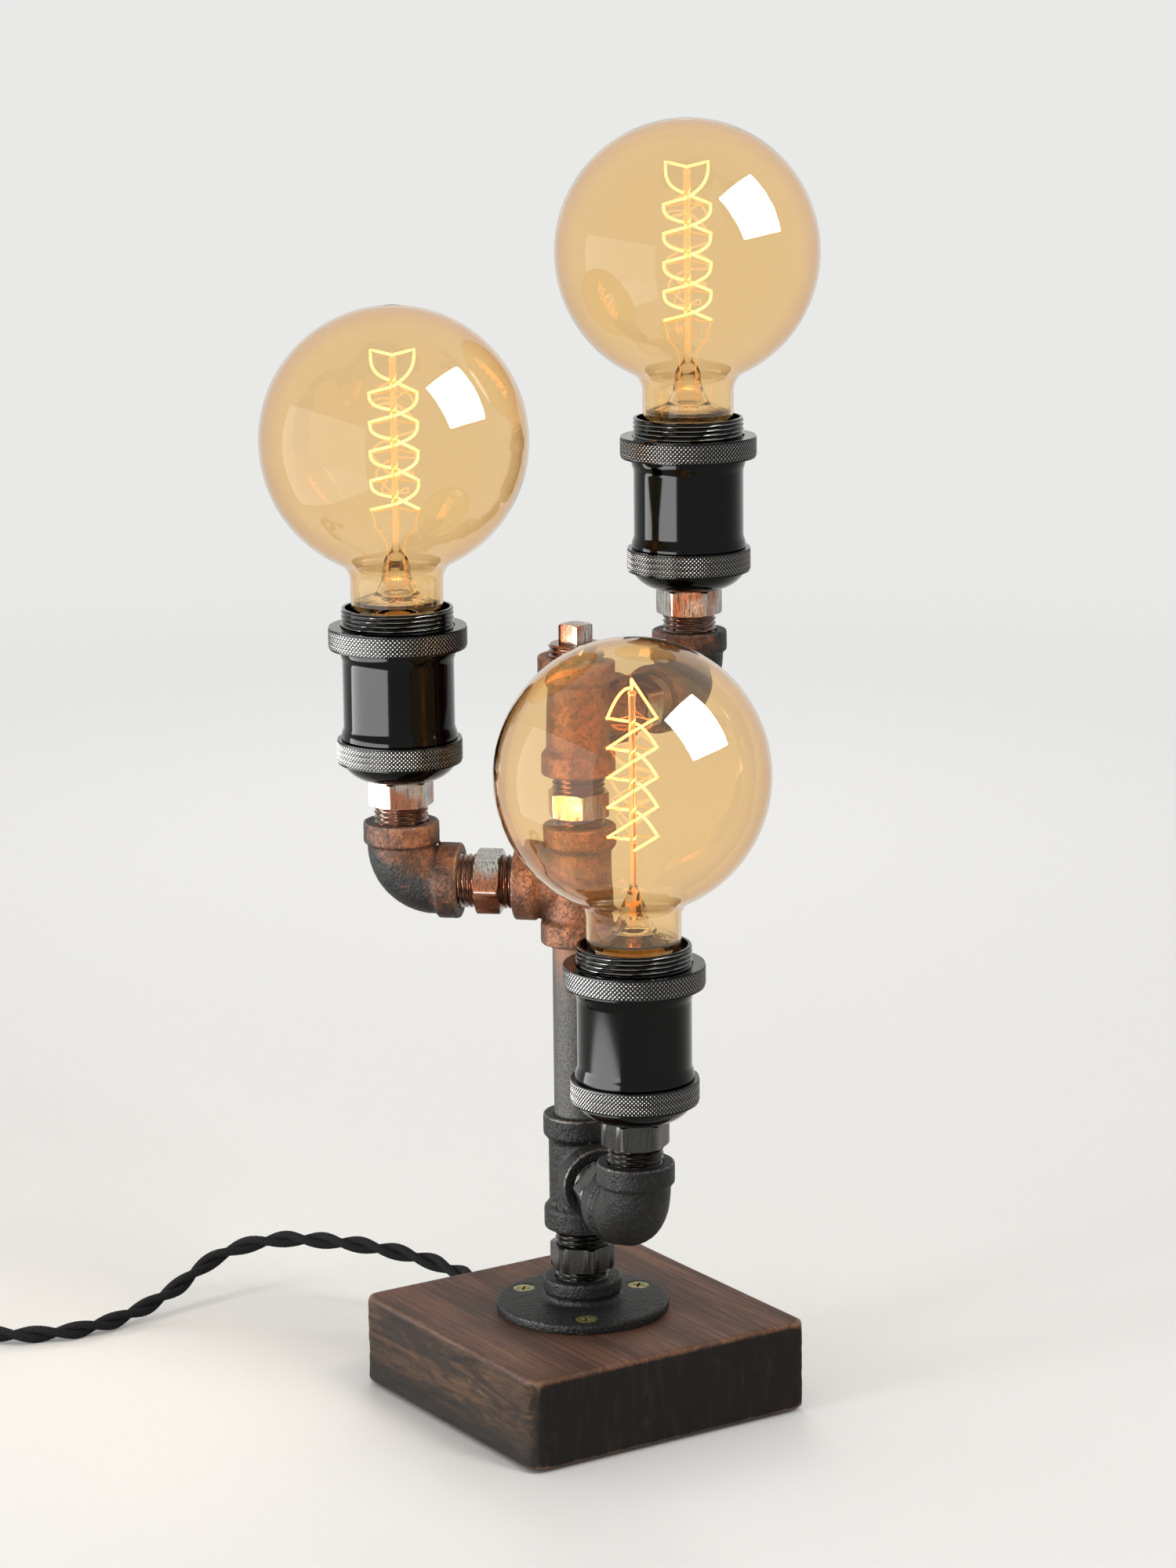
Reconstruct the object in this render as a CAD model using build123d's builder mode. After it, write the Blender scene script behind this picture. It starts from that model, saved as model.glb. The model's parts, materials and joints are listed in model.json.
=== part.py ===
"""Industrial pipe table lamp.

A riser of malleable-iron pipe fittings stands on a square wooden block. Three tees carry three
arms, each with an elbow, a lampholder with a shade ring, and a clear globe bulb with a cage
filament. A twisted fabric cord leaves the back of the block, lies on the table, passes an in-line
rocker switch, and ends in a coil and a flat two-pin plug.

Millimetres, +Z up. The origin is the centre of the pad that the lamp stands on, and the front of
the lamp is -Y. Pieces are drawn on planes: base.z_dir is the axis of whatever is turned.
"""

import os
from math import atan2, cos, degrees, pi, radians, sin, sqrt, tan

from build123d import *

os.makedirs("parts", exist_ok=True)

# Wooden base
block_side = 118.0
block_top = 34.0
block_corner = 6.0
block_edge = 2.5
pad_side = 108.0
pad_thickness = 1.5
recess_side = 62.0
recess_ceiling = 24.0
wire_well_d = 16.0

# Pipe thread shared by all fittings, nipples and the riser
thread_d = 19.4
thread_clearance = 0.05
thread_engaged = 9.0
passage_d = 14.0
nipple_bore_d = 13.0
pipe_d = 19.0

# Cast tees and elbows
fitting_body_d = 23.4
branch_step = 1.8
bead_d = 27.2
bead_length = 7.6
bead_ramp = 2.2
bead_root = 1.0
bead_round = 0.8
tee_face = 21.4
branch_face = 22.4
elbow_face = 21.5
elbow_body_d = 24.4
elbow_bend = 12.5
elbow_land = 0.8
crotch_round = 2.0

# Hex nipples
hex_flats = 21.0
hex_length = 9.0
hex_corner_cut = 0.9
riser_gap_below_hex = 3.3
riser_gap_above_hex = 6.2
arm_gap_tee_side = 4.9
arm_gap_elbow_side = 5.9
holder_gap = 5.9
spigot_d = 10.0
spigot_length = 6.8
spigot_bore_d = 7.0

# Floor flange and its wood screws
flange_d = 62.5
flange_thickness = 3.6
flange_height = 12.6
flange_boss_d = 28.6
screw_circle_d = 48.5
screw_count = 3
screw_shank_d = 4.0
screw_head_d = 7.8
screw_length = 12.0
screw_clearance = 0.1

# Riser
riser_exposed = 62.8
plug_thread_exposed = 4.2
plug_head_side = 8.8
plug_head_height = 6.9

# Arms: compass angle about the riser, and how far each hex nipple is turned
arm_angles = {"front": -105.5, "left": 138.0, "back": 17.0}
hex_turns = {"base": 15.0, "upper": 5.0, "front": 20.0, "left": 22.0, "back": 8.0}

# Lampholder, heights from its seat on the nipple's hexagon
cup_rim_d = 44.8
cup_rim_bottom = 6.7
cup_rim_top = 15.2
cup_flat_d = 19.0
cup_wall = 1.6
cup_hub_d = 17.0
cup_hub_height = 7.0
shell_d = 39.6
shell_flare_d = 41.4
shell_wall = 1.4
neck_d = 40.0
neck_bottom = 47.6
neck_length = 14.7
ring_d = 49.4
ring_height = 7.7
ring_clearance = 0.3
ring_edge = 0.8
insert_depth = 8.3
insert_height = 34.0
insert_floor_thickness = 10.0
insert_clearance = 0.2
insert_post_d = 16.0
screw_shell_wall = 0.5
screw_shell_gap = 4.0
contact_height = 1.4

# Globe bulb with a screw cap
globe_d = 95.0
globe_above_cap = 62.4
glass_neck_d = 32.8
glass_wall = 0.9
cap_d = 26.2
cap_length = 27.0
cap_insulator_height = 3.3
cap_tip_height = 1.5
cap_tip_gap = 0.3
cap_clearance = 0.4
tip_d = 9.5
neck_taper_height = 5.3
stem_tube_d = 10.0
stem_top = -40.0
rod_d = 2.4
rod_top = 29.0

# Cage filament, heights from the centre of the globe
cage_levels = 5
cage_pitch = 10.3
cage_top = 20.0
cage_drop = 3.0
cage_radius = 8.4
crown_height = 32.0
crown_half_width = 7.6
filament_d = 0.6
hook_d = 0.5
hook_gap = 0.1
cage_turns = {"front": 58.0, "left": -32.0, "back": -32.0}

# Wiring inside the pipes
wire_d = 2.2
wire_pair_offset = 1.7
wire_riser_offset = 3.6
wire_bend = 6.0
wire_hole_clearance = 0.3
terminal_length = 30.0
terminal_width = 24.0
terminal_height = 11.0
wire_end_depth = 5.0
holder_wire_end = 12.0
core_straight = 8.0
core_slope = 11.0
core_drop = 5.0

# Cord, its gland, switch and plug
cord_d = 6.4
cord_exit_z = 23.0
gland_hole_d = 12.0
gland_flange_d = 15.0
gland_flange_thickness = 2.5
gland_shank_length = 14.0
gland_nose_length = 14.0
gland_tip_d = 9.0
switch_length = 62.0
switch_width = 26.0
switch_height = 15.0
switch_wall = 2.0
switch_end_width = 15.0
switch_contact_offset = 14.0
rocker_length = 17.0
rocker_width = 10.0
rocker_clearance = 0.4
rocker_tilt = 9.0
rocker_pin_d = 2.0
pin_clearance = 0.05
plug_length = 36.0
plug_width = 35.0
plug_height = 13.7
plug_tail_width = 12.0
plug_tail_length = 8.0
plug_shoulder_length = 14.0
plug_corner = 4.0
plug_edge = 1.0
pin_d = 4.0
pin_length = 19.0
pin_spacing = 18.6
pin_root_d = 3.2
pin_root_length = 6.0
pin_root_exposed = 0.4
pin_tip_round = 1.4

# Heights that follow from the sizes above
lower_tee_z = block_top + flange_height + riser_gap_below_hex + hex_length + riser_gap_above_hex + tee_face
middle_tee_z = lower_tee_z + tee_face + riser_exposed + tee_face
upper_tee_z = middle_tee_z + tee_face + riser_gap_below_hex + hex_length + riser_gap_above_hex + tee_face
tee_heights = {"front": lower_tee_z, "left": middle_tee_z, "back": upper_tee_z}
arm_length = branch_face + arm_gap_tee_side + hex_length + arm_gap_elbow_side + elbow_face
branch_body_d = fitting_body_d - branch_step
thread_bore_d = thread_d + 2 * thread_clearance
elbow_ramp = elbow_face - bead_length - elbow_bend - elbow_land
holder_seat = elbow_face + holder_gap + hex_length

# Heights above the lampholder's seat that follow from the sizes above
holder_height = neck_bottom + neck_length
insert_top = holder_height - insert_depth
insert_bottom = insert_top - insert_height
insert_floor = insert_bottom + insert_floor_thickness
screw_shell_bottom = insert_floor + screw_shell_gap
cap_tip = insert_floor + contact_height + cap_tip_gap
cap_cone_bottom = cap_tip + cap_tip_height
cap_thread_bottom = cap_cone_bottom + cap_insulator_height
cap_top = cap_tip + cap_length
neck_taper_top = cap_top + neck_taper_height
globe_centre = cap_top + globe_above_cap


def save(piece, name):
    """Label a finished piece and write it to its own file."""
    piece.part.label = name
    export_step(piece.part, f"parts/{name}.step")


def upright(base):
    """Drawing plane through the base's axis: its x is the base's x, its y is the base's z."""
    return Plane(origin=base.origin, x_dir=base.x_dir, z_dir=-base.y_dir)


def spin(base):
    return Axis(base.origin, base.z_dir)


def outline(base, *points):
    """Closed straight-sided profile, given as radius and height, to turn about the base's axis."""
    with BuildSketch(upright(base)) as sketch:
        with BuildLine():
            Polyline(*points, close=True)
        make_face()
    return sketch.sketch


def disc(base, height, diameter, inner_diameter=0.0):
    """Circle or ring across the base's axis at a height."""
    with BuildSketch(base.offset(height)) as sketch:
        Circle(diameter / 2)
        if inner_diameter:
            Circle(inner_diameter / 2, mode=Mode.SUBTRACT)
    return sketch.sketch


def bead_profile(base, face, body_d):
    """Half section of the rounded bead at a tee's mouth. Its ramp starts inside the body."""
    bead_r = bead_d / 2
    root_r = body_d / 2 - bead_root
    reach = bead_ramp * (bead_r - root_r) / (bead_r - body_d / 2)
    with BuildSketch(upright(base)) as sketch:
        with BuildLine():
            outer = FilletPolyline(
                (0, face - bead_length - reach),
                (root_r, face - bead_length - reach),
                (bead_r, face - bead_length),
                (bead_r, face),
                (0, face),
                radius=(0, bead_round, bead_round),
            )
            Line(outer @ 1, outer @ 0)
        make_face()
    return sketch.sketch


def leg_profile(base, start, face, body_d, ramp):
    """Half section of one leg of an elbow, with its rounded bead at the mouth."""
    body_r = body_d / 2
    bead_r = bead_d / 2
    with BuildSketch(upright(base)) as sketch:
        with BuildLine():
            outer = FilletPolyline(
                (0, start),
                (body_r, start),
                (body_r, face - bead_length - ramp),
                (bead_r, face - bead_length),
                (bead_r, face),
                (0, face),
                radius=(0, bead_round, bead_round, bead_round),
            )
            Line(outer @ 1, outer @ 0)
        make_face()
    return sketch.sketch


def arm_plane(arm):
    """Centre of an arm's tee: x points out along the arm, z up."""
    angle = radians(arm_angles[arm])
    return Plane(origin=(0, 0, tee_heights[arm]), x_dir=(cos(angle), sin(angle), 0), z_dir=(0, 0, 1))


def along(base):
    """The same origin with the axis turned out along the base's x."""
    return Plane(origin=base.origin, x_dir=base.z_dir, z_dir=base.x_dir)


def downward(base):
    return Plane(origin=base.origin, x_dir=base.x_dir, z_dir=-base.z_dir)


def elbow_plane(arm):
    """Where the two legs of an arm's elbow cross: x points away from the riser, z up."""
    base = arm_plane(arm)
    return Plane(origin=base.from_local_coords((arm_length, 0, 0)), x_dir=base.x_dir, z_dir=base.z_dir)


def holder_plane(arm):
    """Seat of an arm's lampholder, on top of its nipple's hexagon."""
    return elbow_plane(arm).offset(holder_seat)


def globe_plane(arm):
    return holder_plane(arm).offset(globe_centre)


def make_tee(arm, name):
    base = arm_plane(arm)
    branch = along(base)
    with BuildPart() as tee:
        extrude(disc(base, bead_root - tee_face, fitting_body_d), amount=2 * (tee_face - bead_root))
        run_edges = tee.edges()
        extrude(disc(branch, 0, branch_body_d), amount=branch_face - bead_root)
        saddle = (tee.edges() - run_edges).filter_by(GeomType.BSPLINE)
        fillet(saddle, radius=crotch_round)
        legs = (
            (base, tee_face, fitting_body_d),
            (downward(base), tee_face, fitting_body_d),
            (branch, branch_face, branch_body_d),
        )
        for leg, face, body_d in legs:
            revolve(bead_profile(leg, face, body_d), axis=spin(leg))
        for leg, face, _ in legs:
            extrude(disc(leg, 0, passage_d), amount=face, mode=Mode.SUBTRACT)
            extrude(
                disc(leg, face - thread_engaged - bead_round, thread_bore_d),
                amount=thread_engaged + bead_round,
                mode=Mode.SUBTRACT,
            )
    save(tee, name)


def make_elbow(arm, name):
    base = elbow_plane(arm)
    inlet = Plane(origin=base.origin, x_dir=base.z_dir, z_dir=-base.x_dir)
    bend_axis = Axis(base.from_local_coords((-elbow_bend, 0, elbow_bend)), base.y_dir)
    with BuildPart() as elbow:
        revolve(disc(base, elbow_bend, elbow_body_d), axis=bend_axis, revolution_arc=90)
        for leg in (base, inlet):
            revolve(leg_profile(leg, elbow_bend, elbow_face, elbow_body_d, elbow_ramp), axis=spin(leg))
        revolve(disc(base, elbow_bend, passage_d), axis=bend_axis, revolution_arc=90, mode=Mode.SUBTRACT)
        for leg in (base, inlet):
            extrude(
                disc(leg, elbow_face - thread_engaged, thread_bore_d),
                amount=thread_engaged,
                mode=Mode.SUBTRACT,
            )
            extrude(
                disc(leg, elbow_bend, passage_d),
                amount=elbow_face - elbow_bend,
                mode=Mode.SUBTRACT,
            )
    save(elbow, name)


def corner_cut(base, height, side):
    """Triangle that turns into the cone that takes the corners off a hexagon's face."""
    corner_r = hex_flats / sqrt(3)
    rise = side * (hex_corner_cut + 1) * tan(radians(30))
    return outline(
        base,
        (corner_r - hex_corner_cut, height),
        (corner_r + 1, height),
        (corner_r + 1, height + rise),
    )


def make_hex_nipple(base, name, turn, gap_below, gap_above):
    """Nipple whose hexagon starts at the base: threaded both ends, with a bore."""
    with BuildPart() as nipple:
        with BuildSketch(base):
            RegularPolygon(hex_flats / 2, 6, major_radius=False, rotation=turn)
        extrude(amount=hex_length)
        revolve(corner_cut(base, 0, 1), axis=spin(base), mode=Mode.SUBTRACT)
        revolve(corner_cut(base, hex_length, -1), axis=spin(base), mode=Mode.SUBTRACT)
        low = -gap_below - thread_engaged
        high = hex_length + gap_above + thread_engaged
        extrude(disc(base, low, thread_d), amount=high - low)
        extrude(disc(base, low, nipple_bore_d), amount=high - low, mode=Mode.SUBTRACT)
    save(nipple, name)


def make_holder_nipple(arm, name):
    """Nipple from an elbow's mouth to a lampholder: pipe thread below, thin spigot above."""
    base = elbow_plane(arm).offset(elbow_face + holder_gap)
    with BuildPart() as nipple:
        with BuildSketch(base):
            RegularPolygon(hex_flats / 2, 6, major_radius=False, rotation=hex_turns[arm])
        extrude(amount=hex_length)
        revolve(corner_cut(base, 0, 1), axis=spin(base), mode=Mode.SUBTRACT)
        revolve(corner_cut(base, hex_length, -1), axis=spin(base), mode=Mode.SUBTRACT)
        low = -holder_gap - thread_engaged
        extrude(disc(base, low, thread_d), amount=-low)
        extrude(disc(base, hex_length, spigot_d), amount=spigot_length)
        extrude(disc(base, low, nipple_bore_d), amount=-low + cup_wall, mode=Mode.SUBTRACT)
        extrude(disc(base, 0, spigot_bore_d), amount=hex_length + spigot_length, mode=Mode.SUBTRACT)
    save(nipple, name)


def make_cup(arm):
    """Domed bottom cup with the broad rim that carries the knurling."""
    base = holder_plane(arm)
    rim_r = cup_rim_d / 2
    seat_r = neck_d / 2 + thread_clearance
    hole_r = spigot_d / 2 + thread_clearance
    dome_r = seat_r + 0.5
    ledge = cup_rim_bottom + cup_wall
    with BuildPart() as cup:
        with BuildSketch(upright(base)) as section:
            with BuildLine():
                Polyline((hole_r, cup_hub_height), (hole_r, 0), (cup_flat_d / 2, 0))
                TangentArc((cup_flat_d / 2, 0), (dome_r, cup_rim_bottom), tangent=(1, 0))
                rim = FilletPolyline(
                    (dome_r, cup_rim_bottom),
                    (rim_r, cup_rim_bottom),
                    (rim_r, cup_rim_top),
                    (seat_r, cup_rim_top),
                    radius=(ring_edge, ring_edge),
                )
                Polyline(rim @ 1, (seat_r, ledge), (seat_r - cup_wall, ledge))
                TangentArc((cup_flat_d / 2, cup_wall), (seat_r - cup_wall, ledge), tangent=(1, 0))
                Polyline(
                    (cup_flat_d / 2, cup_wall),
                    (cup_hub_d / 2, cup_wall),
                    (cup_hub_d / 2, cup_hub_height),
                    (hole_r, cup_hub_height),
                )
            make_face()
        revolve(axis=spin(base))
    save(cup, f"{arm}_holder_cup")


def make_shell(arm):
    """Polished tube, waisted between its two ends, that runs up into the threaded neck."""
    base = holder_plane(arm)
    inner_r = neck_d / 2 - shell_wall
    flare_r = shell_flare_d / 2
    flare_length = 3.8
    flare_land = 0.6
    foot = cup_rim_bottom + cup_wall
    with BuildPart() as shell:
        with BuildSketch(upright(base)) as section:
            with BuildLine():
                skin = FilletPolyline(
                    (neck_d / 2, foot),
                    (neck_d / 2, cup_rim_top),
                    (flare_r, cup_rim_top),
                    (flare_r, cup_rim_top + flare_land),
                    (shell_d / 2, cup_rim_top + flare_length),
                    (shell_d / 2, neck_bottom - flare_length),
                    (flare_r, neck_bottom - flare_land),
                    (flare_r, neck_bottom),
                    (neck_d / 2, neck_bottom),
                    (neck_d / 2, holder_height),
                    radius=(0, 0, 0, flare_length, flare_length, 0, 0, 0),
                )
                Polyline(skin @ 1, (inner_r, holder_height), (inner_r, foot), skin @ 0)
            make_face()
        revolve(axis=spin(base))
    save(shell, f"{arm}_holder_shell")


def make_ring(arm):
    """Shade ring: screws on the neck and clamps a shade against the shoulder below it."""
    base = holder_plane(arm).offset(neck_bottom + ring_clearance)
    inner_r = neck_d / 2 + ring_clearance
    outer_r = ring_d / 2
    with BuildPart() as ring:
        profile = outline(
            base,
            (inner_r, 0),
            (outer_r - ring_edge, 0),
            (outer_r, ring_edge),
            (outer_r, ring_height - ring_edge),
            (outer_r - ring_edge, ring_height),
            (inner_r, ring_height),
        )
        revolve(profile, axis=spin(base))
    save(ring, f"{arm}_shade_ring")


def make_insert(arm):
    """Porcelain core: a post on the cup's hub, and a pot that holds the contacts."""
    base = holder_plane(arm)
    outer_r = neck_d / 2 - shell_wall - insert_clearance
    pot_r = cap_d / 2 + cap_clearance + screw_shell_wall + thread_clearance
    post_r = insert_post_d / 2
    with BuildPart() as insert:
        profile = outline(
            base,
            (0, cup_hub_height),
            (post_r, cup_hub_height),
            (post_r, insert_bottom),
            (outer_r, insert_bottom),
            (outer_r, insert_top),
            (pot_r, insert_top),
            (pot_r, insert_floor),
            (0, insert_floor),
        )
        revolve(profile, axis=spin(base))
        with BuildSketch(base.offset(cup_hub_height)):
            with Locations((0, wire_pair_offset), (0, -wire_pair_offset)):
                Circle(wire_d / 2 + wire_hole_clearance)
        extrude(amount=holder_wire_end - cup_hub_height, mode=Mode.SUBTRACT)
    save(insert, f"{arm}_socket_insert")


def make_contacts(arm):
    """Brass screw shell and the centre contact under the bulb's tip."""
    base = holder_plane(arm)
    inner_d = cap_d + 2 * cap_clearance
    with BuildPart() as contacts:
        extrude(
            disc(base, screw_shell_bottom, inner_d + 2 * screw_shell_wall, inner_d),
            amount=insert_top - screw_shell_bottom,
        )
        extrude(disc(base, insert_floor, tip_d), amount=contact_height)
    save(contacts, f"{arm}_socket_contacts")


def make_bulb_glass(arm):
    """Blown globe, drawn in to a short neck that tapers into the cap."""
    base = holder_plane(arm)
    globe_r = globe_d / 2
    neck_r = glass_neck_d / 2
    blend = 7.0
    blend_angle = atan2(sqrt((globe_r + blend) ** 2 - (neck_r + blend) ** 2), neck_r + blend)
    blend_z = globe_centre - (globe_r + blend) * sin(blend_angle)
    touch = (globe_r * cos(blend_angle), globe_centre - globe_r * sin(blend_angle))
    blend_mid = (
        neck_r + blend - blend * cos(blend_angle / 2),
        blend_z + blend * sin(blend_angle / 2),
    )
    side = (globe_r, globe_centre)
    with BuildPart() as glass:
        with BuildSketch(upright(base)) as section:
            with BuildLine() as skin:
                Polyline(
                    (cap_d / 2 - 1, cap_top),
                    (cap_d / 2, cap_top),
                    (neck_r, neck_taper_top),
                    (neck_r, blend_z),
                )
                ThreePointArc((neck_r, blend_z), blend_mid, touch)
                top_half = ThreePointArc(touch, side, (0, globe_centre + globe_r))
                inner_r = globe_r - glass_wall
                inner_touch = (inner_r * cos(blend_angle), globe_centre - inner_r * sin(blend_angle))
                inner_blend = blend + glass_wall
                inner_mid = (
                    neck_r + blend - inner_blend * cos(blend_angle / 2),
                    blend_z + inner_blend * sin(blend_angle / 2),
                )
                Line(top_half @ 1, (0, globe_centre + inner_r))
                ThreePointArc((0, globe_centre + inner_r), (inner_r, globe_centre), inner_touch)
                ThreePointArc(inner_touch, inner_mid, (neck_r - glass_wall, blend_z))
                Polyline(
                    (neck_r - glass_wall, blend_z),
                    (neck_r - glass_wall, neck_taper_top),
                    (cap_d / 2 - 1, cap_top),
                )
            make_face()
        revolve(axis=spin(base))
    save(glass, f"{arm}_bulb_glass")


def make_bulb_cap(arm):
    """Screw cap: brass shell, black insulator cone and solder tip, as three solids."""
    base = holder_plane(arm)
    shell_r = cap_d / 2
    with BuildPart() as cap:
        revolve(
            outline(
                base,
                (shell_r - 2, cap_thread_bottom),
                (shell_r - 1, cap_thread_bottom),
                (shell_r, cap_thread_bottom + 1),
                (shell_r, cap_top),
                (shell_r - 0.5, cap_top),
                (shell_r - 0.5, cap_thread_bottom + 1.2),
                (shell_r - 2, cap_thread_bottom + 1.2),
            ),
            axis=spin(base),
        )
    with BuildPart() as cone:
        revolve(
            outline(
                base,
                (0, cap_cone_bottom),
                (tip_d / 2, cap_cone_bottom),
                (shell_r - 2, cap_thread_bottom),
                (0, cap_thread_bottom),
            ),
            axis=spin(base),
        )
    with BuildPart() as tip:
        revolve(
            outline(
                base,
                (0, cap_tip),
                (tip_d / 2 - 1.2, cap_tip),
                (tip_d / 2, cap_cone_bottom),
                (0, cap_cone_bottom),
            ),
            axis=spin(base),
        )
    group = Compound(label=f"{arm}_bulb_cap", children=[cap.part, cone.part, tip.part])
    export_step(group, f"parts/{arm}_bulb_cap.step")


def cage_point(arm, angle, height, radius=cage_radius):
    """A point of the cage, given by its compass angle, its height and its radius."""
    turn = radians(angle + cage_turns[arm])
    globe = globe_plane(arm)
    side = Plane(origin=globe.origin, x_dir=(1, 0, 0), z_dir=(0, 0, 1))
    return side.from_local_coords((radius * cos(turn), radius * sin(turn), height))


def cage_strand(arm, start_angle):
    """One of the two strands: it falls round the four rows of hooks like a square helix."""
    points = []
    for step in range(2 * cage_levels):
        level, second = divmod(step, 2)
        height = cage_top - level * cage_pitch - second * cage_drop
        points.append(cage_point(arm, start_angle + 90 * step, height))
    return points


def make_filament(arm):
    """One unbroken wire: up one strand, over the crown, and down the other."""
    first = cage_strand(arm, 90)
    second = cage_strand(arm, 270)
    crown = [
        cage_point(arm, 180, crown_height, crown_half_width),
        cage_point(arm, 0, crown_height, crown_half_width),
    ]
    route = first[::-1] + crown[::-1] + second
    start = Plane(origin=route[0], z_dir=Vector(*route[1]) - Vector(*route[0]))
    with BuildPart() as filament:
        with BuildSketch(start):
            Rectangle(filament_d, filament_d)
        with BuildLine():
            Polyline(*route)
        sweep(transition=Transition.RIGHT)
    save(filament, f"{arm}_bulb_filament")


def make_stem(arm):
    """Glass stem: flare sealed in the neck, tube, pinch and centre rod, with the hook wires."""
    base = globe_plane(arm)
    neck_inner_r = glass_neck_d / 2 - glass_wall
    flare_bottom = neck_taper_top - globe_centre
    tube_r = stem_tube_d / 2
    reach = cage_radius - filament_d - hook_gap
    with BuildPart() as stem:
        revolve(
            outline(
                base,
                (tube_r, flare_bottom + 4),
                (neck_inner_r - 0.1, flare_bottom),
                (neck_inner_r - 0.1, flare_bottom + 0.9),
                (tube_r + 1.2, flare_bottom + 6),
                (tube_r, flare_bottom + 9),
                (tube_r * 0.72, stem_top),
                (0, stem_top),
                (0, stem_top - 6),
                (tube_r - 1, stem_top - 8),
            ),
            axis=spin(base),
        )
        extrude(disc(base, stem_top, rod_d), amount=rod_top - stem_top)
        for level in range(cage_levels):
            for second in (0, 1):
                height = cage_top - level * cage_pitch - second * cage_drop
                for half in (0, 180):
                    foot = cage_point(arm, 90 + 90 * second + half, height, 0)
                    end = cage_point(arm, 90 + 90 * second + half, height, reach)
                    with BuildSketch(Plane(origin=foot, z_dir=Vector(*end) - Vector(*foot))):
                        Rectangle(hook_d, hook_d)
                    extrude(amount=reach)
    save(stem, f"{arm}_bulb_stem")


def wire_route(arm, side):
    """Route of one insulated wire, in its arm's upright plane, from the base to the holder."""
    base = arm_plane(arm)
    low = recess_ceiling - wire_end_depth - tee_heights[arm]
    high = holder_seat + holder_wire_end
    local = (
        (wire_riser_offset, 0, low),
        (wire_riser_offset, 0, 0),
        (arm_length, 0, 0),
        (arm_length, 0, high),
    )
    return [base.from_local_coords((x, side * wire_pair_offset, z)) for x, _, z in local]


def make_lamp_wires():
    """Three pairs of insulated wires, one pair to each lampholder."""
    wires = []
    for arm in arm_angles:
        for side in (-1, 1):
            route = wire_route(arm, side)
            with BuildPart() as wire:
                with BuildSketch(Plane(origin=route[0], z_dir=(0, 0, 1))):
                    Circle(wire_d / 2)
                with BuildLine():
                    FilletPolyline(*route, radius=wire_bend)
                sweep()
            wires.append(wire.part)
    group = Compound(label="lamp_wires", children=wires)
    export_step(group, "parts/lamp_wires.step")


# Wooden block, hollowed from below for the wiring
with BuildPart() as base_block:
    with BuildSketch(Plane.XY.offset(pad_thickness)):
        RectangleRounded(block_side, block_side, block_corner)
    extrude(amount=block_top - pad_thickness)
    fillet(base_block.faces().sort_by(Axis.Z)[-1].edges(), radius=block_edge)
    chamfer(base_block.faces().sort_by(Axis.Z)[0].edges(), length=0.8)
    with BuildSketch(Plane.XY.offset(pad_thickness)):
        RectangleRounded(recess_side, recess_side, block_corner)
    extrude(amount=recess_ceiling - pad_thickness, mode=Mode.SUBTRACT)
    with BuildSketch(Plane.XY.offset(recess_ceiling)):
        Circle(wire_well_d / 2)
    extrude(amount=block_top - recess_ceiling, mode=Mode.SUBTRACT)
    with BuildSketch(Plane.XZ.offset(-block_side / 2)):
        with Locations((0, cord_exit_z)):
            Circle(gland_hole_d / 2)
    extrude(amount=(block_side - recess_side) / 2, mode=Mode.SUBTRACT)
    with BuildSketch(Plane.XY.offset(block_top - screw_length + flange_thickness - 1)):
        with PolarLocations(screw_circle_d / 2, screw_count):
            Circle(screw_shank_d / 2 + screw_clearance)
    extrude(amount=screw_length, mode=Mode.SUBTRACT)
save(base_block, "base_block")

# Felt pad that the lamp stands on, closing the recess
with BuildPart() as base_pad:
    with BuildSketch(Plane.XY):
        RectangleRounded(pad_side, pad_side, block_corner)
    extrude(amount=pad_thickness)
save(base_pad, "base_pad")

# Cast floor flange: coned disc, boss with a bead, countersunk screw holes
flange_base = Plane.XY.offset(block_top)
with BuildPart() as floor_flange:
    with BuildSketch(upright(flange_base)) as flange_section:
        with BuildLine():
            flange_skin = FilletPolyline(
                (0, 0),
                (flange_d / 2, 0),
                (flange_d / 2, flange_thickness),
                (flange_boss_d / 2 - 0.8, flange_thickness + 0.8),
                (flange_boss_d / 2 - 0.8, flange_height - 6.0),
                (flange_boss_d / 2, flange_height - 5.0),
                (flange_boss_d / 2, flange_height),
                (0, flange_height),
                radius=(0.4, 1.2, 1.6, 0.5, 0.5, 1.0),
            )
            Line(flange_skin @ 1, flange_skin @ 0)
        make_face()
    revolve(axis=Axis.Z)
    extrude(disc(flange_base, 0, passage_d), amount=flange_height, mode=Mode.SUBTRACT)
    extrude(
        disc(flange_base, flange_height - thread_engaged, thread_bore_d),
        amount=thread_engaged,
        mode=Mode.SUBTRACT,
    )
    head_depth = (screw_head_d - screw_shank_d) / 2
    with Locations(flange_base.offset(flange_thickness)):
        with PolarLocations(screw_circle_d / 2, screw_count):
            CounterSinkHole(
                radius=screw_shank_d / 2 + screw_clearance,
                counter_sink_radius=screw_head_d / 2 + 2 * screw_clearance,
                depth=flange_thickness,
                counter_sink_angle=90,
            )
save(floor_flange, "floor_flange")

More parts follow.
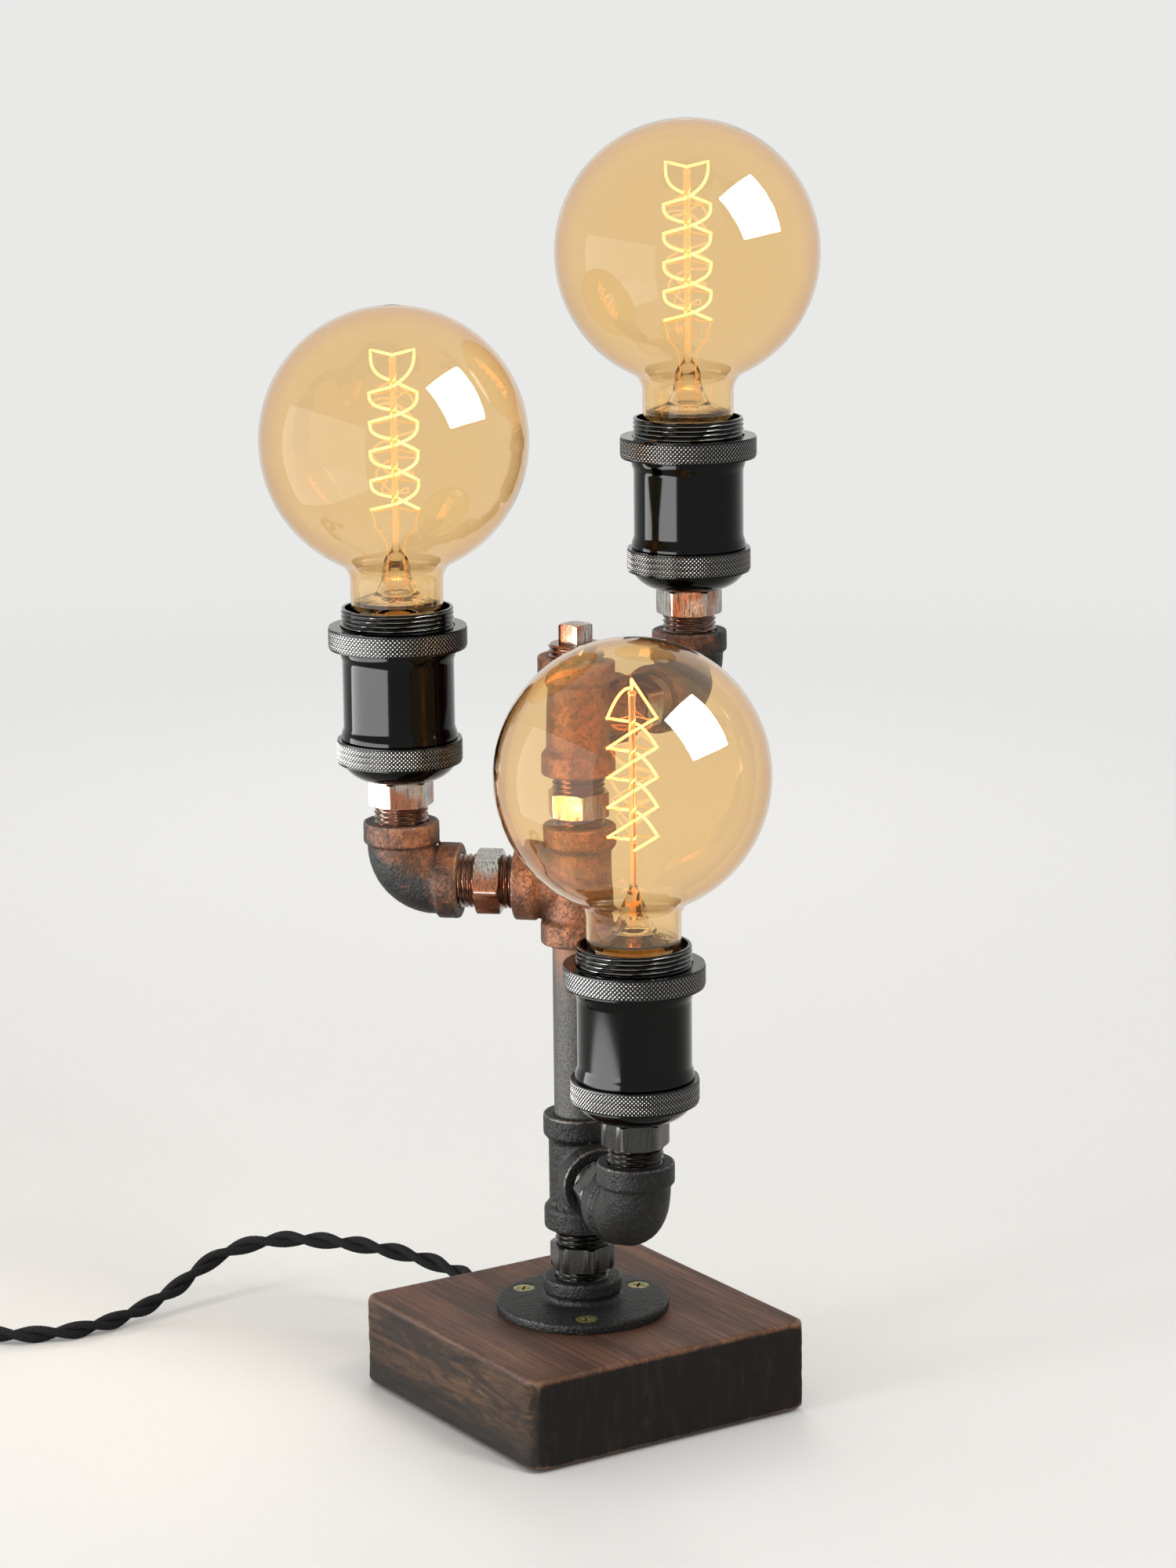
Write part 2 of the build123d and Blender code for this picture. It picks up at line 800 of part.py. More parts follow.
# Countersunk wood screws with a cross recess
with BuildPart() as flange_screws:
    screw_top = block_top + flange_thickness
    for spot in PolarLocations(screw_circle_d / 2, screw_count):
        screw_base = Plane(origin=(spot.position.X, spot.position.Y, screw_top))
        revolve(
            outline(
                screw_base,
                (0, 0),
                (screw_head_d / 2, 0),
                (screw_shank_d / 2, -head_depth),
                (screw_shank_d / 2, -screw_length + 4),
                (0, -screw_length),
            ),
            axis=spin(screw_base),
        )
        with BuildSketch(screw_base):
            with Locations(Location((0, 0), 45)):
                Rectangle(screw_head_d * 0.58, 0.9)
                Rectangle(0.9, screw_head_d * 0.58)
        extrude(amount=-1.3, mode=Mode.SUBTRACT)
save(flange_screws, "flange_screws")

# Riser: nipple, tees, long pipe and closing plug
base_nipple_plane = Plane.XY.offset(block_top + flange_height + riser_gap_below_hex)
make_hex_nipple(
    base_nipple_plane, "base_nipple", hex_turns["base"], riser_gap_below_hex, riser_gap_above_hex
)
upper_nipple_plane = Plane.XY.offset(middle_tee_z + tee_face + riser_gap_below_hex)
make_hex_nipple(
    upper_nipple_plane, "upper_nipple", hex_turns["upper"], riser_gap_below_hex, riser_gap_above_hex
)
make_tee("front", "lower_tee")
make_tee("left", "middle_tee")
make_tee("back", "upper_tee")

pipe_base = Plane.XY.offset(lower_tee_z + tee_face)
with BuildPart() as riser_pipe:
    extrude(disc(pipe_base, 0, pipe_d), amount=riser_exposed)
    extrude(disc(pipe_base, -thread_engaged, thread_d), amount=thread_engaged)
    extrude(disc(pipe_base, riser_exposed, thread_d), amount=thread_engaged)
    extrude(
        disc(pipe_base, -thread_engaged, passage_d),
        amount=riser_exposed + 2 * thread_engaged,
        mode=Mode.SUBTRACT,
    )
save(riser_pipe, "riser_pipe")

top_plug_base = Plane.XY.offset(upper_tee_z + tee_face)
with BuildPart() as top_plug:
    extrude(disc(top_plug_base, -thread_engaged, thread_d), amount=thread_engaged + plug_thread_exposed)
    with BuildSketch(top_plug_base.offset(plug_thread_exposed)):
        Rectangle(plug_head_side, plug_head_side, rotation=-arm_angles["front"])
    extrude(amount=plug_head_height)
    chamfer(top_plug.faces().sort_by(Axis.Z)[-1].edges(), length=0.9)
    chamfer(
        top_plug.faces().filter_by(Axis.Z).filter_by(GeomType.PLANE).group_by(Axis.Z)[1].edges().filter_by(
            lambda edge: edge.geom_type == GeomType.CIRCLE
        ),
        length=0.7,
    )
save(top_plug, "top_plug")

# Arms, lampholders and bulbs
for arm_name in arm_angles:
    nipple_base = along(arm_plane(arm_name)).offset(branch_face + arm_gap_tee_side)
    make_hex_nipple(
        nipple_base, f"{arm_name}_arm_nipple", hex_turns[arm_name], arm_gap_tee_side, arm_gap_elbow_side
    )
    make_elbow(arm_name, f"{arm_name}_elbow")
    make_holder_nipple(arm_name, f"{arm_name}_holder_nipple")
    make_cup(arm_name)
    make_shell(arm_name)
    make_ring(arm_name)
    make_insert(arm_name)
    make_contacts(arm_name)
    make_bulb_glass(arm_name)
    make_bulb_cap(arm_name)
    make_stem(arm_name)
    make_filament(arm_name)

# Wiring in the base
make_lamp_wires()

with BuildPart() as terminal_block:
    with BuildSketch(Plane.XY.offset(recess_ceiling - terminal_height)):
        Rectangle(terminal_length, terminal_width)
    extrude(amount=terminal_height)
    for arm_name in arm_angles:
        for wire_side in (-1, 1):
            wire_foot = wire_route(arm_name, wire_side)[0]
            with BuildSketch(Plane(origin=(wire_foot.X, wire_foot.Y, recess_ceiling))):
                Circle(wire_d / 2 + wire_hole_clearance)
            extrude(amount=-wire_end_depth, mode=Mode.SUBTRACT)
    with BuildSketch(Plane.XZ.offset(-terminal_width / 2)):
        core_hole_z = cord_exit_z - core_drop
        with Locations((-wire_pair_offset, core_hole_z), (wire_pair_offset, core_hole_z)):
            Circle(wire_d / 2 + wire_hole_clearance)
    extrude(amount=4.0, mode=Mode.SUBTRACT)
save(terminal_block, "terminal_block")

core_start_y = block_side / 2 - gland_shank_length - 1
supply_wires = []
for wire_side in (-1, 1):
    core_x = wire_side * wire_pair_offset
    with BuildPart() as supply_core:
        with BuildSketch(Plane(origin=(core_x, core_start_y, cord_exit_z), z_dir=(0, -1, 0))):
            Circle(wire_d / 2)
        with BuildLine():
            FilletPolyline(
                (core_x, core_start_y, cord_exit_z),
                (core_x, core_start_y - core_straight, cord_exit_z),
                (core_x, core_start_y - core_straight - core_slope, cord_exit_z - core_drop),
                (core_x, terminal_width / 2 - 4, cord_exit_z - core_drop),
                radius=wire_bend,
            )
        sweep()
    supply_wires.append(supply_core.part)
supply_group = Compound(label="supply_cores", children=supply_wires)
export_step(supply_group, "parts/supply_cores.step")

# Cord gland: shank in the block, flange on its back face, tapered nose over the cord
gland_base = Plane(origin=(0, block_side / 2, cord_exit_z), x_dir=(1, 0, 0), z_dir=(0, 1, 0))
with BuildPart() as cord_gland:
    revolve(
        outline(
            gland_base,
            (wire_pair_offset + wire_d / 2 + 0.3, -gland_shank_length),
            (gland_hole_d / 2 - thread_clearance, -gland_shank_length),
            (gland_hole_d / 2 - thread_clearance, 0),
            (gland_flange_d / 2, 0),
            (gland_flange_d / 2, gland_flange_thickness - 0.6),
            (gland_flange_d / 2 - 0.6, gland_flange_thickness),
            (gland_tip_d / 2 + 1.4, gland_flange_thickness),
            (gland_tip_d / 2, gland_nose_length),
            (0, gland_nose_length),
            (0, gland_nose_length - 2),
            (wire_pair_offset + wire_d / 2 + 0.3, gland_nose_length - 2),
        ),
        axis=spin(gland_base),
    )
save(cord_gland, "cord_gland")

# Free cord. It arches off the block, comes down to the table and runs out to the switch.
floor_z = cord_d / 2
switch_z = switch_height / 2
gland_tip = (0, block_side / 2 + gland_nose_length, cord_exit_z)
lead_points = [
    gland_tip,
    (0.0, 88.0, cord_exit_z),
    (-4.0, 103.5, 27.6),
    (-13.5, 119.5, 30.5),
    (-26.5, 137.5, 30.6),
    (-42.0, 156.5, 29.0),
    (-61.0, 167.5, 20.0),
    (-81.5, 165.5, 9.0),
    (-103.0, 163.0, 3.6),
    (-125.0, 160.5, floor_z),
    (-143.0, 167.0, floor_z),
    (-155.5, 174.4, floor_z + 0.8),
    (-166.5, 180.9, switch_z),
    (-177.0, 187.1, switch_z),
]


def route_radii(points):
    """Largest arc for each corner of a route: 0.45 of the shorter run over the half turn's tangent."""
    radii = []
    for before, here, after in zip(points, points[1:], points[2:]):
        arriving = Vector(*here) - Vector(*before)
        leaving = Vector(*after) - Vector(*here)
        half_turn = radians(arriving.get_angle(leaving)) / 2
        radii.append(0.45 * min(arriving.length, leaving.length) / tan(half_turn))
    return radii


lead_radii = route_radii(lead_points)
print("cord radii:", ", ".join(f"{radius:.0f}" for radius in lead_radii))
with BuildPart() as cord_lead:
    with BuildSketch(Plane(origin=gland_tip, z_dir=Vector(*lead_points[1]) - Vector(*gland_tip))):
        Circle(cord_d / 2)
    with BuildLine() as lead_line:
        FilletPolyline(*lead_points, radius=lead_radii)
    sweep()
save(cord_lead, "cord_lead")
lead_length = lead_line.wire().length
cord_area = pi * cord_d**2 / 4
lead_ratio = cord_lead.part.volume / (cord_area * lead_length)
print(f"cord lead: {lead_length:.0f} mm, volume ratio {lead_ratio:.4f}")

# In-line switch: two half cases, contacts and a rocker
switch_heading = (Vector(*lead_points[-1]) - Vector(*lead_points[-2])).normalized()
switch_base = Plane(origin=lead_points[-1], x_dir=switch_heading, z_dir=(0, 0, 1))
half_height = switch_height / 2
rocker_pivot_z = half_height - 3.4


def switch_outline(shrink=0.0):
    """Plan of the switch: straight sides that taper towards the cord at both ends."""
    half = switch_width / 2 - shrink
    tip = switch_end_width / 2 - shrink
    taper = 12.0
    with BuildSketch(switch_base) as sketch:
        with BuildLine():
            Polyline(
                (shrink, -tip),
                (taper, -half),
                (switch_length - taper, -half),
                (switch_length - shrink, -tip),
                (switch_length - shrink, tip),
                (switch_length - taper, half),
                (taper, half),
                (shrink, tip),
                close=True,
            )
        make_face()
        fillet(sketch.vertices().filter_by_position(Axis.X, taper - 0.1, switch_length - taper + 0.1), 3.0)
    return sketch.sketch


with BuildPart() as switch_case:
    extrude(switch_outline(), amount=-half_height)
    fillet(switch_case.faces().sort_by(Axis.Z)[0].edges(), radius=1.5)
    extrude(switch_outline(switch_wall), amount=-(half_height - switch_wall), mode=Mode.SUBTRACT)
save(switch_case, "switch_case")

rocker_gap_length = rocker_length + 2 * rocker_clearance + 1.0
rocker_gap_width = rocker_width + 2 * rocker_clearance
rocker_middle = Plane(
    origin=switch_base.from_local_coords((switch_length / 2, 0, rocker_pivot_z)),
    x_dir=switch_base.x_dir,
    z_dir=(0, 0, 1),
)
bearing_thickness = 1.6
with BuildPart() as switch_cover:
    extrude(switch_outline(), amount=half_height)
    fillet(switch_cover.faces().sort_by(Axis.Z)[-1].edges(), radius=1.5)
    extrude(switch_outline(switch_wall), amount=half_height - switch_wall, mode=Mode.SUBTRACT)
    with BuildSketch(rocker_middle.offset(-2)):
        for bearing_side in (-1, 1):
            with Locations((0, bearing_side * (rocker_gap_width + bearing_thickness) / 2)):
                Rectangle(6, bearing_thickness)
    extrude(amount=half_height - switch_wall - rocker_pivot_z + 2.5)
    with BuildSketch(rocker_middle):
        Rectangle(rocker_gap_length, rocker_gap_width)
    extrude(amount=half_height, mode=Mode.SUBTRACT)
    with BuildSketch(upright(rocker_middle).offset(-rocker_gap_width)):
        Circle(rocker_pin_d / 2 + pin_clearance)
    extrude(amount=2 * rocker_gap_width, mode=Mode.SUBTRACT)
save(switch_cover, "switch_cover")

with BuildPart() as switch_contacts:
    for contact_side in (-1, 1):
        with BuildSketch(switch_base.offset(-half_height + switch_wall)):
            with Locations((switch_length / 2 + contact_side * switch_contact_offset, 0)):
                Rectangle(9, 8)
        extrude(amount=4.0)
save(switch_contacts, "switch_contacts")

rocker_heading = switch_heading * cos(radians(rocker_tilt)) + Vector(0, 0, sin(radians(rocker_tilt)))
rocker_side = Plane(origin=rocker_middle.origin, x_dir=rocker_heading, z_dir=-rocker_middle.y_dir)
with BuildPart() as switch_rocker:
    with BuildSketch(rocker_side) as rocker_section:
        with BuildLine():
            Polyline(
                (-rocker_length / 2, -0.5),
                (-rocker_length / 2, 4.9),
                (0, 3.3),
                (rocker_length / 2, 4.9),
                (rocker_length / 2, -0.5),
                (3.0, -2.2),
                (-3.0, -2.2),
                close=True,
            )
        make_face()
    extrude(amount=rocker_width / 2, both=True)
    with BuildSketch(rocker_side):
        Circle(rocker_pin_d / 2)
    extrude(amount=rocker_gap_width / 2 + bearing_thickness, both=True)
save(switch_rocker, "switch_rocker")

# Coil: in over the table for its turns, up a layer where it reverses, and out again on top
coil_turns = 3
coil_pitch = 6.9
coil_outer_r = 46.0
coil_climb_inset = 1.8
coil_lead = 33.0
plug_lead = 24.0
plug_turn = 25.0
coil_start = switch_base.from_local_coords((switch_length, 0, 0))
coil_touch = switch_base.from_local_coords((switch_length + coil_lead, 0, floor_z - switch_z))
coil_side = Vector(0, 0, 1).cross(switch_heading)


def coil_points():
    """Ends of the half turns: place and heading, out of the spiral's formula."""
    centre = coil_touch + coil_side * coil_outer_r
    ends = []
    half_turns = 4 * coil_turns + 1
    for k in range(half_turns + 1):
        inward = min(k, 2 * coil_turns)
        outward = max(k - 2 * coil_turns - 1, 0)
        inset = coil_climb_inset if k in (2 * coil_turns, 2 * coil_turns + 1) else 0
        radius = coil_outer_r - (inward - outward) * coil_pitch / 2 - inset
        height = floor_z if k <= 2 * coil_turns else floor_z + coil_pitch
        sign = -1 if k % 2 == 0 else 1
        place = centre + coil_side * (sign * radius)
        ends.append((Vector(place.X, place.Y, height), switch_heading * -sign))
    return ends


def biarc_joint(start, start_heading, end, end_heading):
    """Middle point of the two equal-handled arcs that join two places and headings."""
    across = end - start
    both = start_heading + end_heading
    a = 2 * (1 - start_heading.dot(end_heading))
    b = 2 * across.dot(both)
    c = -across.dot(across)
    reach = (-b + sqrt(b * b - 4 * a * c)) / (2 * a) if a > 1e-9 else -c / b
    return (start + start_heading * reach + end - end_heading * reach) * 0.5


coil_ends = coil_points()
coil_exit, exit_heading = coil_ends[-1]
plug_heading = exit_heading.rotate(Axis.Z, -plug_turn)
bend_end = coil_exit + (exit_heading + plug_heading).normalized() * plug_lead
straight_end = Vector(bend_end.X, bend_end.Y, plug_height / 2)
plug_entry = straight_end + plug_heading * cord_d
straight_start = coil_start + switch_heading * cord_d
coil_stops = [(straight_start, switch_heading)] + coil_ends + [(straight_end, plug_heading)]

with BuildPart() as cord_coil:
    with BuildSketch(Plane(origin=coil_start, z_dir=switch_heading)):
        Circle(cord_d / 2)
    with BuildLine() as coil_line:
        Line(coil_start, straight_start)
        for (place, heading), (next_place, next_heading) in zip(coil_stops, coil_stops[1:]):
            joint = biarc_joint(place, heading, next_place, next_heading)
            first_arc = TangentArc(place, joint, tangent=heading)
            TangentArc(joint, next_place, tangent=first_arc % 1)
        Line(straight_end, plug_entry)
    sweep()
save(cord_coil, "cord_coil")
coil_length = coil_line.wire().length
coil_ratio = cord_coil.part.volume / (cord_area * coil_length)
print(f"cord coil: {coil_length:.0f} mm, volume ratio {coil_ratio:.4f}")
print(f"whole cord: {lead_length + switch_length + coil_length:.0f} mm")

samples = [coil_line.wire() @ (i / 900) for i in range(901)]
spacing = coil_length / 900
apart = int(3 * cord_d / spacing)
least_gap = min(
    (samples[i] - samples[j]).length
    for i in range(0, 901, 2)
    for j in range(i + apart, 901, 2)
) - cord_d
print(f"least gap between turns: {least_gap:.2f} mm")

# Flat two-pin plug
plug_base = Plane(origin=plug_entry, x_dir=plug_heading, z_dir=(0, 0, 1))
plug_face = along(plug_base).offset(plug_length)
pin_places = [(0, pin_spacing / 2), (0, -pin_spacing / 2)]
with BuildPart() as plug_body:
    with BuildSketch(plug_base.offset(-plug_height / 2)) as plug_plan:
        with BuildLine():
            Polyline(
                (0, -plug_tail_width / 2),
                (0, plug_tail_width / 2),
                (plug_tail_length, plug_tail_width / 2 + 1.5),
                (plug_length - plug_shoulder_length, plug_width / 2),
                (plug_length - plug_corner, plug_width / 2),
                (plug_length, plug_width / 2 - plug_corner),
                (plug_length, -plug_width / 2 + plug_corner),
                (plug_length - plug_corner, -plug_width / 2),
                (plug_length - plug_shoulder_length, -plug_width / 2),
                (plug_tail_length, -plug_tail_width / 2 - 1.5),
                close=True,
            )
        make_face()
    extrude(amount=plug_height)
    fillet(plug_body.edges().filter_by(Axis.Z), radius=2 * plug_edge)
    chamfer(plug_body.faces().filter_by(Axis.Z).edges(), length=plug_edge)
    with BuildSketch(plug_face):
        with Locations(*pin_places):
            Circle(pin_root_d / 2 + pin_clearance)
    extrude(amount=-pin_root_length, mode=Mode.SUBTRACT)
save(plug_body, "plug_body")

with BuildPart() as plug_pins:
    with BuildSketch(plug_face.offset(-pin_root_length)):
        with Locations(*pin_places):
            Circle(pin_root_d / 2)
    extrude(amount=pin_root_length + pin_root_exposed)
    with BuildSketch(plug_face.offset(pin_root_exposed)):
        with Locations(*pin_places):
            Circle(pin_d / 2)
    extrude(amount=pin_length - pin_root_exposed)
    tips = plug_pins.faces().filter_by(GeomType.PLANE).sort_by(Axis(plug_entry, plug_heading))[-2:]
    fillet(tips.edges(), radius=pin_tip_round)
save(plug_pins, "plug_pins")
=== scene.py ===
"""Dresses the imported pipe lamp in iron, steel, black plate, amber glass, burnt wood and fabric cord.

Every size is in metres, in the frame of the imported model. What the model already holds, such as axes, seats
and heights, is read from its nodes; what only the eye sees, such as threads, knurling and grain, is set here.
"""

import json
from math import atan2, ceil, cos, exp, pi, radians, sin, sqrt, tan

import bpy
import numpy as np
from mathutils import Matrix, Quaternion, Vector, noise

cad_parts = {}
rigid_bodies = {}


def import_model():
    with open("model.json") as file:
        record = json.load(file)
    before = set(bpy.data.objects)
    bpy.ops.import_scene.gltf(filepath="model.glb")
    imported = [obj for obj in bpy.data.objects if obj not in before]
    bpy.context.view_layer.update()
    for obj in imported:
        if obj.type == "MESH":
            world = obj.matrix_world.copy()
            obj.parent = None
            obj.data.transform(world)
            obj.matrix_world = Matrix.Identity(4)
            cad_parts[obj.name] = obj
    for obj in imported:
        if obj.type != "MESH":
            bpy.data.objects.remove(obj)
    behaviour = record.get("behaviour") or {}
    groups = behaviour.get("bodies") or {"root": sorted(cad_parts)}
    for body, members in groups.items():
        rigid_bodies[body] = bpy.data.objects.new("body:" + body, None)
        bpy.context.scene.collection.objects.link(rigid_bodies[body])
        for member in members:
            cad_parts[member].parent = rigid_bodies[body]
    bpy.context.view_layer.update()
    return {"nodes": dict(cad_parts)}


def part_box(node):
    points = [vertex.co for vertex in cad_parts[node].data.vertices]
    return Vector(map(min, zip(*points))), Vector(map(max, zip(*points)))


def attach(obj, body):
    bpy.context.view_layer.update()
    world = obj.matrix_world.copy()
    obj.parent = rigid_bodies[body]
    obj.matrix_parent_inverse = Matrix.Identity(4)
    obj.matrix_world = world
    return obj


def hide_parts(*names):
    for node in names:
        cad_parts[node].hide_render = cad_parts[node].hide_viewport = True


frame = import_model()

bl_info = {
    "name": "Pipe Lamp Dressing",
    "version": (1, 0, 0),
    "blender": (4, 5, 0),
    "location": "View3D > Sidebar > Pipe Lamp",
    "description": "Builds the visible pieces and finishes of the pipe lamp around its packed model",
    "category": "Add Mesh",
}

ARMS = ("front", "left", "back")
MM = 0.001
UP = Vector((0, 0, 1))


def node_points(node):
    """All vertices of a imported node, as an array."""
    mesh = frame["nodes"][node].data
    points = np.zeros(len(mesh.vertices) * 3)
    mesh.vertices.foreach_get("co", points)
    return points.reshape(-1, 3)


def holder_axis(arm):
    """Where an arm's lampholder stands: the middle of its shell, seen from above."""
    low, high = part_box(f"{arm}_holder_shell")
    return Vector(((low.x + high.x) / 2, (low.y + high.y) / 2, 0))


def globe_centre(arm):
    low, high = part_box(f"{arm}_bulb_glass")
    return Vector(((low.x + high.x) / 2, (low.y + high.y) / 2, high.z - (high.x - low.x) / 2))


class LampSizes(bpy.types.PropertyGroup):
    """Sizes that only the visible model has."""

    pipe_pitch: bpy.props.FloatProperty(
        name="Pipe Thread Pitch", description="Rise of a pipe thread in one turn",
        default=1.75 * MM, subtype="DISTANCE", unit="LENGTH")
    pipe_depth: bpy.props.FloatProperty(
        name="Pipe Thread Depth", description="Crest to root of a pipe thread",
        default=0.75 * MM, subtype="DISTANCE", unit="LENGTH")
    neck_pitch: bpy.props.FloatProperty(
        name="Neck Thread Pitch", description="Rise of the lampholder's neck thread in one turn",
        default=1.6 * MM, subtype="DISTANCE", unit="LENGTH")
    neck_depth: bpy.props.FloatProperty(
        name="Neck Thread Depth", description="Crest to root of the neck thread",
        default=0.55 * MM, subtype="DISTANCE", unit="LENGTH")
    knurl_count: bpy.props.IntProperty(
        name="Knurls Around", description="Diamonds of the knurling in one row round a ring", default=100)
    knurl_depth: bpy.props.FloatProperty(
        name="Knurl Depth", description="Height of a knurled diamond",
        default=0.45 * MM, subtype="DISTANCE", unit="LENGTH")
    cast_voxel: bpy.props.FloatProperty(
        name="Casting Cell", description="Cell size of the skin over the cast fittings",
        default=0.5 * MM, subtype="DISTANCE", unit="LENGTH")
    cast_grain: bpy.props.FloatProperty(
        name="Casting Grain", description="Height of the sand-cast roughness",
        default=0.12 * MM, subtype="DISTANCE", unit="LENGTH")
    wood_voxel: bpy.props.FloatProperty(
        name="Wood Cell", description="Cell size of the skin over the wooden block",
        default=0.9 * MM, subtype="DISTANCE", unit="LENGTH")
    glass_wall: bpy.props.FloatProperty(
        name="Glass Wall", description="Thickness of a bulb's glass",
        default=0.9 * MM, subtype="DISTANCE", unit="LENGTH")
    filament_radius: bpy.props.FloatProperty(
        name="Filament Radius", description="Half the thickness of the glowing wire",
        default=0.46 * MM, subtype="DISTANCE", unit="LENGTH")
    filament_slack: bpy.props.FloatProperty(
        name="Filament Slack", description="How freely the wires of the left and back bulbs hang",
        default=1.0)
    strand_radius: bpy.props.FloatProperty(
        name="Strand Radius", description="Half the thickness of one of the cord's two strands",
        default=1.66 * MM, subtype="DISTANCE", unit="LENGTH")
    twist_pitch: bpy.props.FloatProperty(
        name="Twist Pitch", description="Length of cord in which the strands go round each other once",
        default=32 * MM, subtype="DISTANCE", unit="LENGTH")


class LampColours(bpy.types.PropertyGroup):
    """Colours, written as they look under plain light."""

    iron: bpy.props.FloatVectorProperty(
        name="Black Iron", description="Blackened cast fittings", subtype="COLOR",
        default=(0.013, 0.013, 0.013))
    # Brown of rusty patches; near the bulbs it also stands for their orange light, painted on.
    bloom_and_bulb_glow: bpy.props.FloatVectorProperty(
        name="Rust Bloom", description="Brown bloom on the upper fittings", subtype="COLOR",
        default=(0.240, 0.095, 0.045))
    # Lighter rims of the castings: bare metal from handling, and partly a painted highlight along the rims.
    worn_iron_and_glint: bpy.props.FloatVectorProperty(
        name="Worn Iron", description="Rubbed rims of the castings", subtype="COLOR",
        default=(0.24, 0.22, 0.20))
    steel: bpy.props.FloatVectorProperty(
        name="Turned Steel", description="Hexagons and threads", subtype="COLOR", default=(0.44, 0.425, 0.40))
    # Coppery tone of random patches; beside the bulbs this is their orange reflection painted on, rather than
    # heat tint.
    copper_stain_and_glow: bpy.props.FloatVectorProperty(
        name="Warm Steel", description="Heat-tinted steel beside the bulbs", subtype="COLOR",
        default=(0.37, 0.140, 0.070))
    pearl: bpy.props.FloatVectorProperty(
        name="Black Pearl", description="Plate of the lampholders", subtype="COLOR",
        default=(0.014, 0.0142, 0.014))
    # Lighter knurl crests: bare plate from handling, and partly painted sheen where the facets would catch
    # light.
    knurl_wear_and_sheen: bpy.props.FloatVectorProperty(
        name="Knurl Tips", description="Rubbed tips of the knurling", subtype="COLOR",
        default=(0.62, 0.61, 0.58))
    amber_rim: bpy.props.FloatVectorProperty(
        name="Amber Rim", description="Tint of the globes where one looks along their wall", subtype="COLOR",
        default=(0.68, 0.36, 0.14))
    amber: bpy.props.FloatVectorProperty(
        name="Amber Glass", description="Tint of the globes", subtype="COLOR", default=(0.965, 0.79, 0.53))
    stem_glass: bpy.props.FloatVectorProperty(
        name="Stem Glass", description="Tint of the stems", subtype="COLOR", default=(1.0, 0.94, 0.84))
    glow: bpy.props.FloatVectorProperty(
        name="Glow", description="Light of the filament", subtype="COLOR", default=(1.0, 0.30, 0.07))
    cap_gold: bpy.props.FloatVectorProperty(
        name="Cap", description="Brass of the bulb caps and contacts", subtype="COLOR",
        default=(0.78, 0.55, 0.22))
    zinc: bpy.props.FloatVectorProperty(
        name="Yellow Zinc", description="Wood screws", subtype="COLOR", default=(0.36, 0.31, 0.13))
    wood: bpy.props.FloatVectorProperty(
        name="Wood", description="Oiled top of the block", subtype="COLOR", default=(0.135, 0.060, 0.034))
    wood_dark: bpy.props.FloatVectorProperty(
        name="Wood Rings", description="Darker growth rings", subtype="COLOR", default=(0.058, 0.027, 0.017))
    sawn: bpy.props.FloatVectorProperty(
        name="Sawn Wood", description="Rough-sawn side", subtype="COLOR", default=(0.120, 0.060, 0.026))
    burnt: bpy.props.FloatVectorProperty(
        name="Burnt Wood", description="Charred end grain", subtype="COLOR", default=(0.009, 0.007, 0.006))
    cloth: bpy.props.FloatVectorProperty(
        name="Cord Cloth", description="Braided cover of the cord", subtype="COLOR",
        default=(0.006, 0.006, 0.0065))
    core: bpy.props.FloatVectorProperty(
        name="Lampholder Core", description="Glazed core of a lampholder", subtype="COLOR",
        default=(0.74, 0.71, 0.64))
    plastic: bpy.props.FloatVectorProperty(
        name="Black Plastic", description="Switch, plug and gland", subtype="COLOR",
        default=(0.022, 0.022, 0.023))
    floor: bpy.props.FloatVectorProperty(
        name="Floor", description="Plain pale table and backdrop", subtype="COLOR",
        default=(0.80, 0.80, 0.79))


class Value:
    """A socket of a finish that takes part in arithmetic."""

    def __init__(self, finish, socket):
        self.finish = finish
        self.socket = socket

    def reckon(self, operation, *operands):
        made = self.finish.node("ShaderNodeMath", {"operation": operation}, dict(enumerate(operands)))
        return Value(self.finish, made.outputs[0])

    def __add__(self, other):
        return self.reckon("ADD", self, other)

    def __radd__(self, other):
        return self.reckon("ADD", other, self)

    def __sub__(self, other):
        return self.reckon("SUBTRACT", self, other)

    def __rsub__(self, other):
        return self.reckon("SUBTRACT", other, self)

    def __mul__(self, other):
        return self.reckon("MULTIPLY", self, other)

    def __rmul__(self, other):
        return self.reckon("MULTIPLY", other, self)

    def __truediv__(self, other):
        return self.reckon("DIVIDE", self, other)

    def __pow__(self, other):
        return self.reckon("POWER", self, other)

    def at_least(self, other):
        return self.reckon("MAXIMUM", self, other)

    def wave(self):
        """Sine of the value."""
        return self.reckon("SINE", self)

    def size(self):
        """The value without its sign."""
        return self.reckon("ABSOLUTE", self)


